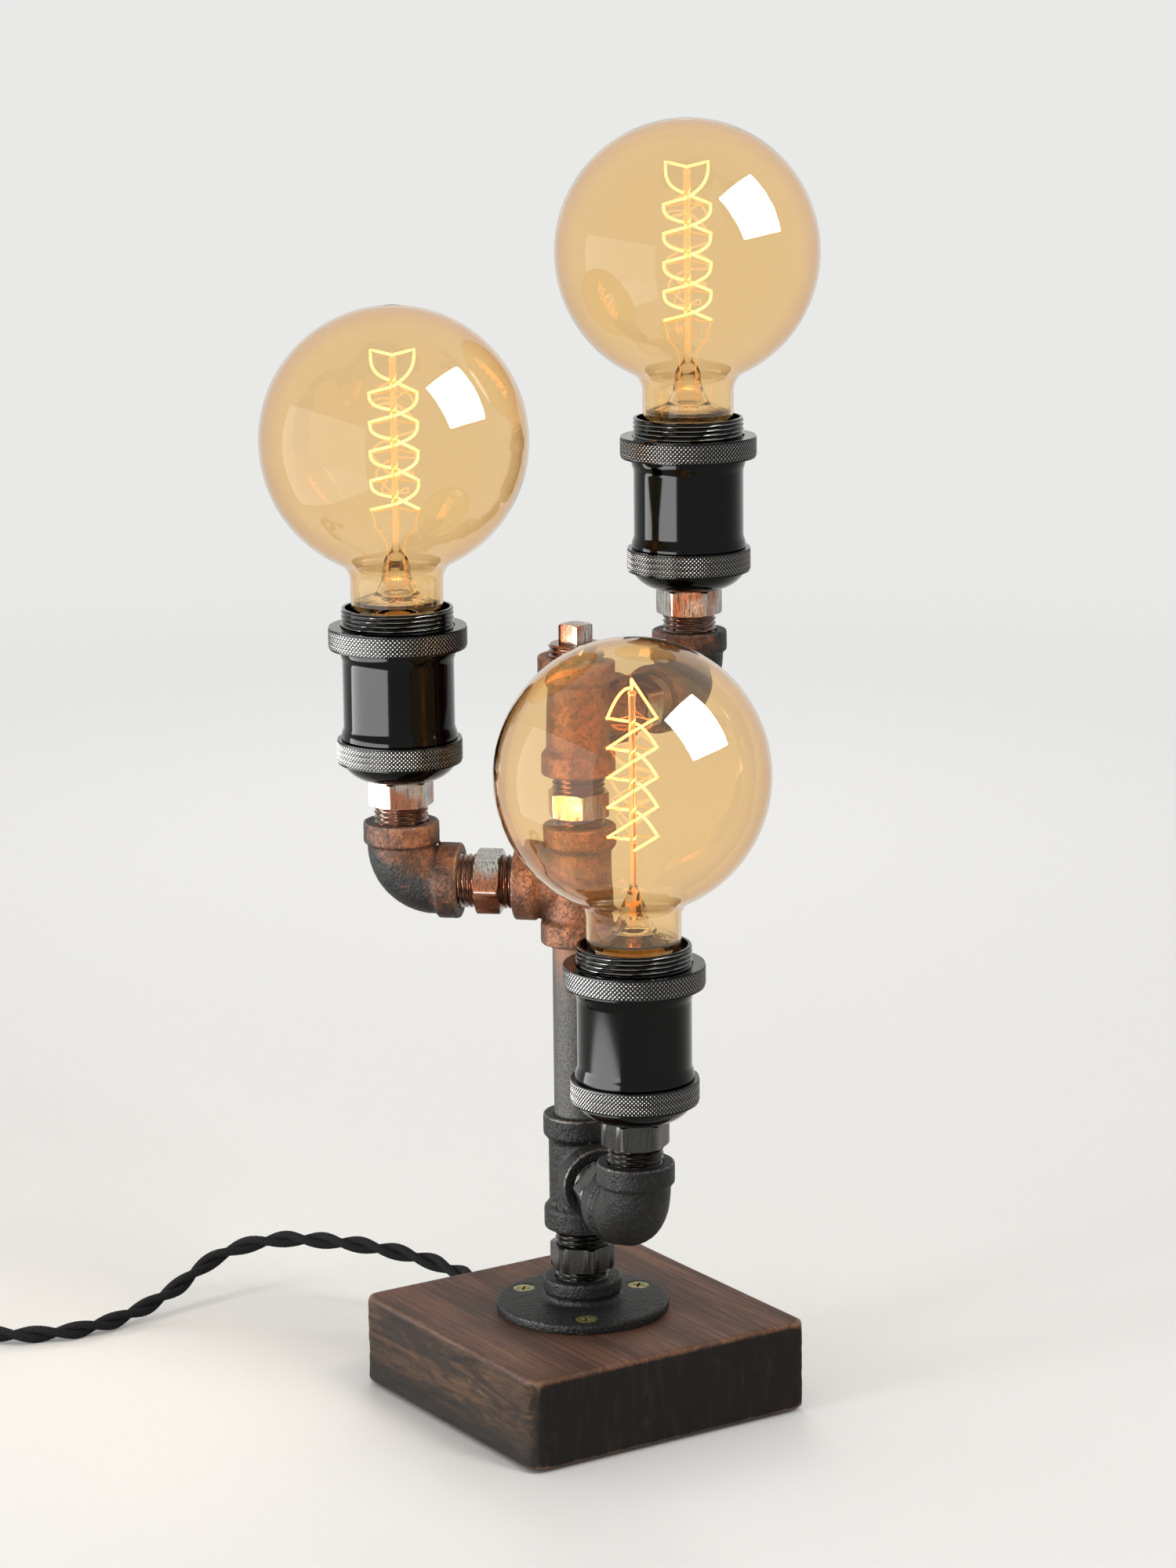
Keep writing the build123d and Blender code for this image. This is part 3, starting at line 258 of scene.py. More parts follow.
class Finish:
    """The nodes of a material, or of the room round the lamp, under construction."""

    def __init__(self, name, room=None):
        self.material = room or bpy.data.materials.new(name)
        self.material.use_nodes = True
        self.tree = self.material.node_tree
        self.tree.nodes.clear()
        self.place = self.node("ShaderNodeTexCoord").outputs["Object"]

    def node(self, kind, settings=None, sockets=None):
        """A new node: its settings are set first, then the values or links of its sockets."""
        made = self.tree.nodes.new(kind)
        for key, value in (settings or {}).items():
            setattr(made, key, value)
        for key, value in (sockets or {}).items():
            if isinstance(value, Value):
                value = value.socket
            if isinstance(value, bpy.types.NodeSocket):
                self.tree.links.new(value, made.inputs[key])
            elif made.inputs[key].type == "RGBA" and len(value) == 3:
                made.inputs[key].default_value = (*value, 1)
            else:
                made.inputs[key].default_value = value
        return made

    def noise(self, scale, detail=4.0, roughness=0.55, place=None, distortion=0.0):
        made = self.node("ShaderNodeTexNoise", None, {
            "Vector": place or self.place, "Scale": scale, "Detail": detail, "Roughness": roughness,
            "Distortion": distortion})
        return Value(self, made.outputs["Fac"])

    def cells(self, scale, place=None, feature="F1"):
        made = self.node("ShaderNodeTexVoronoi", {"feature": feature}, {
            "Vector": place or self.place, "Scale": scale})
        return Value(self, made.outputs["Distance"])

    def stretched(self, factors, shift=None, place=None):
        """The place with each axis scaled by its own factor, and moved by a shift if one is given."""
        made = self.node("ShaderNodeVectorMath", {"operation": "MULTIPLY"}, {
            0: place or self.place, 1: factors})
        if shift is not None:
            made = self.node("ShaderNodeVectorMath", {"operation": "ADD"}, {0: made.outputs[0], 1: shift})
        return made.outputs[0]

    def axes(self, place=None):
        """The place's three coordinates."""
        made = self.node("ShaderNodeSeparateXYZ", None, {0: place or self.place})
        return [Value(self, socket) for socket in made.outputs]

    def step(self, value, low, high):
        """0 below low, 1 above high, and smooth between; low may lie above high."""
        made = self.node("ShaderNodeMapRange", {"interpolation_type": "SMOOTHSTEP"}, {
            "Value": value, "From Min": low, "From Max": high})
        return Value(self, made.outputs["Result"])

    def blend(self, factor, first, second, kind="MIX"):
        """Colour between first and second."""
        made = self.node("ShaderNodeMix", {"data_type": "RGBA", "blend_type": kind}, {
            0: factor, 6: first, 7: second})
        return made.outputs[2]

    def mark(self, name):
        """A number stored on the mesh."""
        return Value(self, self.node("ShaderNodeAttribute", {"attribute_name": name}).outputs["Fac"])

    def bump(self, height, distance, below=None):
        sockets = {"Height": height, "Distance": distance, "Strength": 1.0}
        if below is not None:
            sockets["Normal"] = below
        return self.node("ShaderNodeBump", None, sockets).outputs["Normal"]

    def near(self, points, full, none):
        """1 within the full distance of any of the points, 0 past the other distance."""
        mask = None
        for point in points:
            made = self.node("ShaderNodeVectorMath", {"operation": "DISTANCE"}, {0: self.place, 1: point})
            close = self.step(Value(self, made.outputs["Value"]), none, full)
            mask = close if mask is None else mask.at_least(close)
        return mask

    def surface(self, sockets):
        shader = self.node("ShaderNodeBsdfPrincipled", None, sockets)
        self.node("ShaderNodeOutputMaterial", None, {"Surface": shader.outputs[0]})
        return self.material


FINISHES = {}


def finish(maker, *words):
    """The material that a maker function gives, made once."""
    key = (maker.__name__, *words)
    if key not in FINISHES:
        FINISHES[key] = maker(*words)
    return FINISHES[key]


def colours():
    return bpy.context.scene.lamp_colours


def sizes():
    return bpy.context.scene.lamp_sizes


def cast_iron():
    """Sand-cast iron: black low on the lamp, with a brown rusty tone near the bulbs that is partly the bulbs'
    orange light painted on.
    """
    f = Finish("cast_iron")
    tint = colours()
    # Near the globes: where the bulbs' orange light is painted on as a brown tint.
    bulb_glow = f.near([globe_centre(arm) for arm in ARMS], 0.066, 0.150)
    patches = f.noise(55, 5, 0.6)
    sand = f.noise(900, 3, 0.65)
    pits = f.step(f.cells(560), 0.05, 0.32)
    # Rusty patches, raised near the bulbs, where the brown is partly their light painted on.
    rust_and_bulb_glow = f.step(patches + bulb_glow * 0.60, 0.66, 1.06)
    speck = f.step(f.noise(420, 4, 0.7), 0.52, 0.72)
    mottle = f.step(f.noise(210, 5, 0.7), 0.36, 0.62)
    base = f.blend(rust_and_bulb_glow * (mottle * 0.5 + 0.45), tint.iron, tint.bloom_and_bulb_glow)
    base = f.blend(speck * rust_and_bulb_glow * 0.6, base, (0.31, 0.12, 0.055))
    base = f.blend(f.step(sand, 0.54, 0.72) * 0.40, base, (0.085, 0.076, 0.070))
    base = f.blend(f.step(f.noise(820, 3, 0.7), 0.50, 0.36) * 0.6, base, (0.012, 0.011, 0.010))
    # Outward edges lighter: abrasion, and partly a painted highlight.
    worn_and_glint = f.step(f.mark("wear_and_glint") + (patches - 0.5) * 1.1, 0.62, 1.10)
    base = f.blend(worn_and_glint * 0.5, base, tint.worn_iron_and_glint)
    rough = 0.42 + patches * 0.16 - worn_and_glint * 0.12
    relief = f.bump(sand * 0.9 + pits * 0.5, 0.42 * MM)
    relief = f.bump(f.noise(330, 3, 0.5), 0.36 * MM, relief)
    return f.surface({"Base Color": base, "Metallic": 0.35 + worn_and_glint * 0.4, "Roughness": rough,
                      "Specular IOR Level": 0.2, "Normal": relief})


def turned_steel():
    """Bright hexagons and threads, darker towards the bottom, with coppery patches, and the bulbs' orange
    reflection painted on as a coppery tone near them.
    """
    f = Finish("turned_steel")
    tint = colours()
    bulb_glow = f.near([globe_centre(arm) for arm in ARMS], 0.075, 0.17)
    height = f.axes()[2]
    # Darker towards the bottom, by height alone.
    lower_darkening = 1 - f.step(height, 0.125, 0.19)
    cloud = f.noise(90, 5, 0.62)
    scratches = f.noise(1, 3, 0.6, f.stretched((260, 260, 2600)))
    brushed = f.noise(1, 4, 0.7, f.stretched((1400, 1400, 150)))
    # Random patches, raised near the bulbs, where the coppery tone is a painted reflection of their light.
    stain_and_bulb_glow = f.step(f.noise(38, 3, 0.5) + cloud * 0.25 + bulb_glow * 0.26, 0.79, 0.95)
    base = f.blend(stain_and_bulb_glow, tint.steel, tint.copper_stain_and_glow)
    # Threads darker, turning brown near the bulbs as their light painted on.
    base = f.blend(f.mark("thread") * 0.80, base, f.blend(bulb_glow, (0.060, 0.045, 0.040), (0.18, 0.075, 0.040)))
    base = f.blend(f.step(brushed, 0.52, 0.36) * 0.85, base, (0.085, 0.080, 0.075))
    base = f.blend(lower_darkening * 0.92, base, (0.026, 0.027, 0.026))
    base = f.blend(f.step(f.noise(700, 4, 0.7), 0.62, 0.74) * 0.5, base, (0.035, 0.024, 0.018))
    # Lighter corners and chamfers: bare metal, and painted glints.
    base = f.blend(f.step(f.mark("rubbed_and_glint"), 0.35, 0.95) * (0.6 - lower_darkening * 0.53), base, (0.58, 0.56, 0.52))
    rough = 0.10 + cloud * 0.10 + scratches * 0.05 + brushed * 0.06
    relief = f.bump(scratches * 0.4 + f.noise(900, 3, 0.6) * 0.6, 0.05 * MM)
    return f.surface({"Base Color": base, "Metallic": 0.95, "Roughness": rough, "Normal": relief})


def grey_pipe():
    """Phosphated pipe with a fine speckle, and the bulbs' orange light painted on as a brown tint near them.
    """
    f = Finish("grey_pipe")
    tint = colours()
    bulb_glow = f.near([globe_centre(arm) for arm in ARMS], 0.072, 0.14)
    speckle = f.noise(1300, 3, 0.65)
    flecks = f.step(f.cells(900), 0.12, 0.42)
    base = f.blend(f.step(speckle, 0.38, 0.66), (0.034, 0.034, 0.033), (0.078, 0.077, 0.073))
    base = f.blend((1 - flecks) * 0.5, base, (0.022, 0.022, 0.021))
    # Brown tint near the bulbs: their light painted on.
    base = f.blend(f.step(bulb_glow + f.noise(60) * 0.3, 0.5, 1.1) * 0.8, base, tint.bloom_and_bulb_glow)
    relief = f.bump(speckle + flecks * 0.5, 0.12 * MM)
    return f.surface({
        "Base Color": base, "Metallic": 0.55, "Roughness": 0.55 + speckle * 0.2, "Normal": relief})


def black_pearl():
    """Mirror-smooth dark plate with faint wiping marks."""
    f = Finish("black_pearl")
    tint = colours()
    smear = f.noise(1, 4, 0.6, f.stretched((70, 70, 18)))
    dust = f.step(f.noise(1600, 2, 0.5), 0.70, 0.80)
    # Crests of knurls and neck thread lighter: abrasion and painted sheen.
    tips_worn_and_sheen = f.mark("tips_worn_and_sheen")
    base = f.blend(tips_worn_and_sheen, tint.pearl, tint.knurl_wear_and_sheen)
    rough = 0.07 + smear * 0.06 + dust * 0.12 + tips_worn_and_sheen * 0.16
    relief = f.bump(smear, 0.01 * MM)
    return f.surface({"Base Color": base, "Metallic": 1.0, "Roughness": rough, "Normal": relief})


def amber_glass():
    """Thin tinted glass that lets most light through to what stands behind it."""
    f = Finish("amber_glass")
    shadow = Value(f, f.node("ShaderNodeLightPath").outputs["Is Shadow Ray"])
    ripple = f.noise(22, 2, 0.4)
    grazing = Value(f, f.node("ShaderNodeLayerWeight", None, {"Blend": 0.5}).outputs["Facing"])
    tint = f.blend(f.step(grazing, 0.42, 1.0), tuple(colours().amber), tuple(colours().amber_rim))
    return f.surface({
        "Base Color": tint, "Roughness": 0.0, "IOR": 1.47, "Transmission Weight": 1.0,
        "Alpha": 1 - shadow * 0.85, "Normal": f.bump(ripple, 0.10 * MM)})


def stem_glass():
    """Thick clear glass of the stem, whose rod is lit up by the filament round it."""
    f = Finish("stem_glass")
    shadow = Value(f, f.node("ShaderNodeLightPath").outputs["Is Shadow Ray"])
    glow = f.blend(f.mark("rod"), (0, 0, 0), (1.0, 0.36, 0.06))
    return f.surface({
        "Base Color": colours().stem_glass, "Roughness": 0.02, "IOR": 1.5, "Transmission Weight": 1.0,
        "Alpha": 1 - shadow * 0.85, "Normal": f.bump(f.noise(160, 2, 0.5), 0.15 * MM),
        "Emission Color": glow, "Emission Strength": 0.22})


def glowing_wire():
    """Filament at its working heat, a little cooler in places."""
    f = Finish("glowing_wire")
    heat = f.step(f.noise(130, 2, 0.5), 0.2, 0.8)
    light = f.blend(heat, colours().glow, (1.0, 0.38, 0.10))
    return f.surface({"Base Color": (0.35, 0.12, 0.03), "Roughness": 0.5, "Emission Color": light,
                      "Emission Strength": 9.0})


def hook_wire():
    """Molybdenum hooks and nickel leads, lit by the filament."""
    f = Finish("hook_wire")
    light = f.blend(f.noise(200, 2, 0.5), (0.9, 0.30, 0.05), (0.6, 0.16, 0.02))
    return f.surface({"Base Color": (0.45, 0.33, 0.22), "Metallic": 0.9, "Roughness": 0.35,
                      "Emission Color": light, "Emission Strength": 1.3})


def cap_brass():
    f = Finish("cap_brass")
    cloud = f.noise(140, 4, 0.6)
    base = f.blend(f.step(cloud, 0.4, 0.75) * 0.6, colours().cap_gold, (0.42, 0.25, 0.08))
    return f.surface({"Base Color": base, "Metallic": 1.0, "Roughness": 0.22 + cloud * 0.2,
                      "Normal": f.bump(cloud, 0.03 * MM)})


def yellow_zinc():
    f = Finish("yellow_zinc")
    cloud = f.noise(500, 4, 0.6)
    base = f.blend(f.step(cloud, 0.4, 0.7), colours().zinc, (0.17, 0.18, 0.09))
    return f.surface({"Base Color": base, "Metallic": 1.0, "Roughness": 0.38 + cloud * 0.2,
                      "Normal": f.bump(cloud, 0.03 * MM)})


def glazed_core():
    f = Finish("glazed_core")
    cloud = f.noise(120, 4, 0.6)
    base = f.blend(cloud * 0.35, colours().core, (0.42, 0.38, 0.30))
    return f.surface({"Base Color": base, "Roughness": 0.22 + cloud * 0.2, "Coat Weight": 0.3,
                      "Normal": f.bump(cloud, 0.05 * MM)})


def moulded_plastic(shade, gloss):
    """Moulded plastic with a fine spark-eroded grain."""
    f = Finish("moulded_plastic")
    grain = f.noise(1800, 2, 0.6)
    cloud = f.noise(70, 3, 0.5)
    base = f.blend(cloud * 0.5, tuple(colours().plastic) if shade == "black" else (0.62, 0.61, 0.57),
                   (0.05, 0.05, 0.052) if shade == "black" else (0.45, 0.43, 0.38))
    return f.surface({"Base Color": base, "Roughness": gloss + grain * 0.16, "Specular IOR Level": 0.2,
                      "Normal": f.bump(grain, 0.03 * MM)})


def felt():
    f = Finish("felt")
    fibres = f.noise(1, 4, 0.75, f.stretched((1900, 700, 900)), 1.5)
    base = f.blend(fibres, (0.012, 0.012, 0.012), (0.05, 0.05, 0.052))
    return f.surface({"Base Color": base, "Roughness": 0.95, "Sheen Weight": 0.3,
                      "Normal": f.bump(fibres, 0.3 * MM)})


def braided_cloth():
    """Fine diagonal braid round each strand of the cord, from the strand's own coordinates."""
    f = Finish("braided_cloth")
    around, along, _ = f.axes(f.node("ShaderNodeTexCoord").outputs["UV"])
    turns = around * (2 * pi * 8)
    rise = along * (2 * pi / 1.7)
    one = (turns + rise).wave()
    other = (turns - rise).wave()
    weave = one.at_least(other)
    fuzz = f.noise(2600, 3, 0.7)
    base = f.blend(f.step(weave, 0.1, 1.0) * 0.6, tuple(colours().cloth), (0.018, 0.018, 0.019))
    base = f.blend(f.step(fuzz, 0.55, 0.8) * 0.4, base, (0.034, 0.034, 0.036))
    relief = f.bump(weave * 0.7 + fuzz * 0.4, 0.16 * MM)
    return f.surface({"Base Color": base, "Roughness": 0.75 + fuzz * 0.15, "Specular IOR Level": 0.12,
                      "Normal": relief})


def burnt_wood():
    """One block: oiled top, rough-sawn long sides and charred end grain. The grain runs along Y."""
    f = Finish("burnt_wood")
    tint = colours()
    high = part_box("base_block")[1]
    x, y, z = f.axes()
    wander = f.noise(1, 3, 0.5, f.stretched((16, 5, 16)))
    spread = f.stretched((1.0, 0.06, 2.4))
    rings = (f.noise(95, 3, 0.55, spread) * 9 + wander * 7 + x * 260).wave()
    streaks = f.noise(1, 5, 0.62, f.stretched((620, 22, 620)))
    pores = f.step(f.noise(1, 3, 0.6, f.stretched((1900, 95, 1900))), 0.60, 0.70)
    cloud = f.noise(28, 4, 0.6)
    top = f.blend(f.step(rings * 0.11 + streaks + 0.02, 0.34, 0.72), tint.wood_dark, tint.wood)
    top = f.blend(f.step(streaks, 0.52, 0.78) * 0.55, top, (0.215, 0.104, 0.060))
    top = f.blend(pores * 0.55, top, (0.030, 0.014, 0.009))
    top = f.blend(f.step(cloud, 0.48, 0.72) * 0.55, top, tint.wood_dark)
    # Darker round the flange: a greasy stain, and partly the flange's shadow painted on.
    grease_and_shadow = f.step((x * x + y * y) ** 0.5 + (cloud - 0.5) * 0.05, 0.052, 0.030)
    top = f.blend(grease_and_shadow * 0.45, top, (0.034, 0.018, 0.012))

    torn = f.noise(1, 6, 0.72, f.stretched((300, 34, 210)), 0.6)
    chips = f.noise(1, 5, 0.65, f.stretched((60, 20, 110)), 1.2)
    sawn = f.blend(f.step(torn, 0.40, 0.64), (0.020, 0.011, 0.007), tint.sawn)
    sawn = f.blend(f.step(chips, 0.47, 0.60) * 0.85, sawn, (0.022, 0.012, 0.008))
    sawn = f.blend(f.step(torn, 0.60, 0.74) * 0.6, sawn, (0.24, 0.130, 0.058))

    fine = f.noise(1, 5, 0.68, f.stretched((330, 330, 60)))
    grime = f.noise(70, 5, 0.65)
    charred = f.blend(f.step(fine, 0.50, 0.78) * 0.5, tint.burnt, (0.036, 0.022, 0.015))
    charred = f.blend(f.step(grime, 0.58, 0.76) * 0.5, charred, (0.046, 0.028, 0.018))

    side = f.step(x.size(), high.x - 4.2 * MM, high.x - 1.2 * MM)
    end = f.step(y.size() + (fine - 0.5) * 0.002, high.y - 3.4 * MM, high.y - 0.9 * MM)
    wall = 1 - f.step(z + (chips - 0.5) * 0.0012, high.z - 2.2 * MM, high.z - 1.0 * MM)
    base = f.blend(side * wall, top, sawn)
    face = 1 - f.step(z + (fine - 0.5) * 0.001, high.z - 2.0 * MM, high.z - 1.0 * MM)
    base = f.blend(end * face, base, charred)
    rim = f.step(z + (chips - 0.5) * 0.016, 0.016, 0.004) * side
    base = f.blend(rim * 0.85, base, tint.burnt)
    # Outward edges of the block lighter: abrasion, and partly a painted highlight along the edges.
    worn_and_glint = f.step(f.mark("wear_and_glint") + (fine - 0.5) * 0.8, 0.45, 1.0)
    base = f.blend(worn_and_glint * 0.45, base, (0.30, 0.17, 0.10))
    rough = 0.50 + wall * 0.28 + cloud * 0.12 - f.step(streaks, 0.4, 0.8) * 0.06
    relief = f.bump(streaks * 0.6 + pores * -0.7, 0.10 * MM)
    relief = f.bump(torn * side * wall * 1.5 + fine * end * wall * 0.7, 0.5 * MM, relief)
    return f.surface({"Base Color": base, "Roughness": rough, "Specular IOR Level": 0.22, "Normal": relief})


def seen_directly(f):
    """1 for what the camera sees itself, in a reflection or through glass."""
    path = f.node("ShaderNodeLightPath").outputs
    seen = Value(f, path["Is Camera Ray"])
    return seen.at_least(Value(f, path["Is Glossy Ray"])).at_least(Value(f, path["Is Transmission Ray"]))


TABLE_EDGE, BACKDROP_EDGE = 0.45, 1.9
BACKDROP_STRENGTH = 1.02


def pale_floor():
    """Plain table that passes into an even pale backdrop with distance, for the eye alone."""
    f = Finish("pale_floor")
    tint = tuple(colours().floor)
    base = f.blend(f.noise(3, 2, 0.5) * 0.2, tint, (0.76, 0.76, 0.75))
    table = f.node("ShaderNodeBsdfPrincipled", None, {"Base Color": base, "Roughness": 0.85})
    backdrop = f.node("ShaderNodeEmission", None, {"Color": tint, "Strength": BACKDROP_STRENGTH})
    x, y, _ = f.axes()
    far = f.step((x * x + y * y) ** 0.5, TABLE_EDGE, BACKDROP_EDGE)
    mixed = f.node("ShaderNodeMixShader", None, {
        0: far * seen_directly(f), 1: table.outputs[0], 2: backdrop.outputs[0]})
    f.node("ShaderNodeOutputMaterial", None, {"Surface": mixed.outputs[0]})
    return f.material


def new_piece(name, mesh, material, body="root", slot=None, replaces=()):
    """A piece of the lamp: linked, given its finish, and carried by its body."""
    piece = bpy.data.objects.new(name, mesh)
    bpy.context.scene.collection.objects.link(piece)
    mesh.materials.clear()
    mesh.materials.append(material)
    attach(piece, body)
    if replaces:
        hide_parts(*replaces)
    return piece


def build_mesh(name, points, faces, marks=None, uv=None, sharp=40):
    """A smooth-shaded mesh from arrays; marks are numbers for each point, uv a pair for each point."""
    mesh = bpy.data.meshes.new(name)
    mesh.from_pydata([tuple(p) for p in points], [], [tuple(int(i) for i in face) for face in faces])
    mesh.validate(clean_customdata=False)
    mesh.polygons.foreach_set("use_smooth", [True] * len(mesh.polygons))
    if sharp:
        mesh.set_sharp_from_angle(angle=radians(sharp))
    for key, values in (marks or {}).items():
        attribute = mesh.attributes.new(key, "FLOAT", "POINT")
        attribute.data.foreach_set("value", np.asarray(values, np.float32))
    if uv is not None:
        layer = mesh.uv_layers.new(name="UVMap")
        corners = np.zeros(len(mesh.loops), np.int32)
        mesh.loops.foreach_get("vertex_index", corners)
        layer.data.foreach_set("uv", np.asarray(uv, np.float32)[corners].ravel())
    mesh.update()
    return mesh


def grid_faces(rows, columns, start=0, close_rows=False):
    """Quads of a grid whose columns close on themselves, and whose rows may too."""
    faces = []
    for i in range(rows if close_rows else rows - 1):
        below = start + i * columns
        above = start + ((i + 1) % rows) * columns
        for j in range(columns):
            k = (j + 1) % columns
            faces.append((below + j, below + k, above + k, above + j))
    return faces


class Spindle:
    """The axis that a turned piece is made about."""

    def __init__(self, origin, direction=UP, start=0.0):
        self.origin = np.array(origin, float)
        self.along = np.array(Vector(direction).normalized())
        side = Vector(direction).cross(UP)
        if side.length < 1e-6:
            side = Vector((1, 0, 0))
        self.side = np.array(side.normalized())
        self.across = np.cross(self.along, self.side)
        self.start = start

    def place(self, radius, angle, height):
        """Points from radius, angle and height arrays."""
        turn = angle + self.start
        out = np.cos(turn)[..., None] * self.side + np.sin(turn)[..., None] * self.across
        return self.origin + radius[..., None] * out + height[..., None] * self.along


def soften(profile, radius, steps=3):
    """The profile, a closed list of radius and height, with its corners rounded where there is room."""
    out = []
    count = len(profile)
    for i in range(count):
        here = np.array(profile[i], float)
        before = np.array(profile[i - 1], float)
        after = np.array(profile[(i + 1) % count], float)
        arriving, leaving = here - before, after - here
        long_in, long_out = np.linalg.norm(arriving), np.linalg.norm(leaving)
        reach = min(radius, 0.45 * long_in, 0.45 * long_out)
        straight = np.dot(arriving, leaving) / (long_in * long_out)
        if straight > 0.96 or here[0] < 1e-6:
            out.append(tuple(here))
            continue
        first = here - arriving / long_in * reach
        last = here + leaving / long_out * reach
        for k in range(steps + 1):
            t = k / steps
            out.append(tuple((1 - t) ** 2 * first + 2 * t * (1 - t) * here + t ** 2 * last))
    return out


def turn_profile(spindle, profile, steps=96, offset=None):
    """Points and faces of a closed profile turned about a spindle. offset gives a change of radius."""
    profile = np.array(profile, float)
    angles = np.linspace(0, 2 * pi, steps, endpoint=False)
    radius = np.repeat(profile[:, 0][:, None], steps, 1)
    height = np.repeat(profile[:, 1][:, None], steps, 1)
    angle = np.repeat(angles[None, :], len(profile), 0)
    if offset is not None:
        radius = radius + offset(radius, angle, height)
    points = spindle.place(np.maximum(radius, 1e-6), angle, height).reshape(-1, 3)
    return points, grid_faces(len(profile), steps, close_rows=True), radius.ravel(), height.ravel()


def thread_profile(outer, inner, low, high, pitch):
    """Closed profile of a threaded sleeve, with rows close enough together for its thread."""
    rows = max(int(ceil((high - low) / (pitch / 10))), 2)
    heights = np.linspace(low, high, rows + 1)
    return [(outer, z) for z in heights] + [(inner, high), (inner, low)]


def thread_offset(outer, low, high, pitch, depth):
    """Cut of a V thread with a narrow flat crest, faded out at both ends of its length."""

    def offset(radius, angle, height):
        phase = (height / pitch - angle / (2 * pi)) % 1.0
        ridge = np.clip(np.abs(phase - 0.5) * 2 * 1.25 - 0.10, 0, 1)
        fade = np.clip((height - low) / (0.4 * pitch), 0, 1) * np.clip((high - height) / (0.4 * pitch), 0, 1)
        fade = 1 - (1 - fade) * 0.6
        return np.where(radius > outer - 1e-6, -depth * (ridge * fade + (1 - fade)), 0)

    return offset


def polygon_collar(spindle, sides, apothem, inner, low, high, cut, start, columns=14):
    """A nut-like collar: flat sides, a chamfer cone that scallops each face, and a bore."""
    steps = sides * columns
    angles = np.linspace(0, 2 * pi, steps, endpoint=False)
    within = (angles % (2 * pi / sides)) - pi / sides
    reach = apothem / np.cos(within)
    corner = apothem / cos(pi / sides)
    reach = np.minimum(reach, corner - 0.22 * MM)
    land = corner - cut
    slope = tan(radians(30))
    shrink = np.maximum(reach - land, 0) * slope
    rim = np.minimum(reach, land)
    soft = 0.10 * MM
    rows = [
        (np.full(steps, inner), np.full(steps, low)),
        (rim - soft, np.full(steps, low)),
        (rim, low + soft * 0.5 * np.ones(steps)),
        (reach, low + shrink + soft),
        (reach, high - shrink - soft),
        (rim, high - soft * 0.5 * np.ones(steps)),
        (rim - soft, np.full(steps, high)),
        (np.full(steps, inner), np.full(steps, high)),
    ]
    radius = np.array([r for r, _ in rows])
    height = np.array([h for _, h in rows])
    angle = np.repeat(angles[None, :] + start, len(rows), 0)
    # Corners and both chamfers marked for a lighter colour: bare metal from handling, and painted glints
    # where the chamfers catch light.
    corners = np.abs(within) > pi / sides * 0.9
    rubbed_and_glint = np.repeat(corners[None, :].astype(float), len(rows), 0)
    rubbed_and_glint[1:3] = 1
    rubbed_and_glint[5:7] = 1
    points = spindle.place(radius, angle, height).reshape(-1, 3)
    return points, grid_faces(len(rows), steps, close_rows=True), rubbed_and_glint.ravel()


def join_shells(*shells):
    """One list of points and faces from several, with a mark that tells them apart."""
    points, faces, marks = [], [], []
    start = 0
    for number, (shell_points, shell_faces) in enumerate(shells):
        points.append(shell_points)
        faces += [tuple(i + start for i in face) for face in shell_faces]
        marks.append(np.full(len(shell_points), float(number)))
        start += len(shell_points)
    return np.concatenate(points), faces, np.concatenate(marks)


def tube_shell(path, radius, sides=10, closed_ends=True):
    """A round tube along a list of points, by frames carried along without twist."""
    path = np.array(path, float)
    tangents = np.gradient(path, axis=0)
    tangents /= np.linalg.norm(tangents, axis=1)[:, None]
    side = np.cross(tangents[0], (0.3, 0.2, 1.0))
    side /= np.linalg.norm(side)
    angles = np.linspace(0, 2 * pi, sides, endpoint=False)
    points = []
    for centre, tangent in zip(path, tangents):
        side = side - tangent * np.dot(side, tangent)
        side /= np.linalg.norm(side)
        across = np.cross(tangent, side)
        points.append(centre + radius * (np.cos(angles)[:, None] * side + np.sin(angles)[:, None] * across))
    points = np.concatenate(points)
    faces = grid_faces(len(path), sides)
    if closed_ends:
        faces.append(tuple(range(sides))[::-1])
        faces.append(tuple(range(len(points) - sides, len(points))))
    return points, faces


def edge_wear(mesh, rounds=2):
    """Number for each point that is high on outward edges: where hands and tools have abraded them, and where
    the finishes also paint edge highlights.
    """
    count = len(mesh.vertices)
    points = np.zeros(count * 3)
    mesh.vertices.foreach_get("co", points)
    points = points.reshape(-1, 3)
    normals = np.zeros(count * 3)
    mesh.vertices.foreach_get("normal", normals)
    normals = normals.reshape(-1, 3)
    edges = np.zeros(len(mesh.edges) * 2, int)
    mesh.edges.foreach_get("vertices", edges)
    a, b = edges.reshape(-1, 2).T
    way = points[b] - points[a]
    way /= np.maximum(np.linalg.norm(way, axis=1), 1e-9)[:, None]
    bend = np.zeros(count)
    links = np.zeros(count)
    np.add.at(bend, a, -(normals[a] * way).sum(1))
    np.add.at(bend, b, (normals[b] * way).sum(1))
    np.add.at(links, a, 1)
    np.add.at(links, b, 1)
    bend /= np.maximum(links, 1)
    for _ in range(rounds):
        total = bend.copy()
        np.add.at(total, a, bend[b])
        np.add.at(total, b, bend[a])
        bend = total / (links + 1)
    attribute = mesh.attributes.new("wear_and_glint", "FLOAT", "POINT")
    attribute.data.foreach_set("value", np.clip(bend * 9, 0, 1).astype(np.float32))


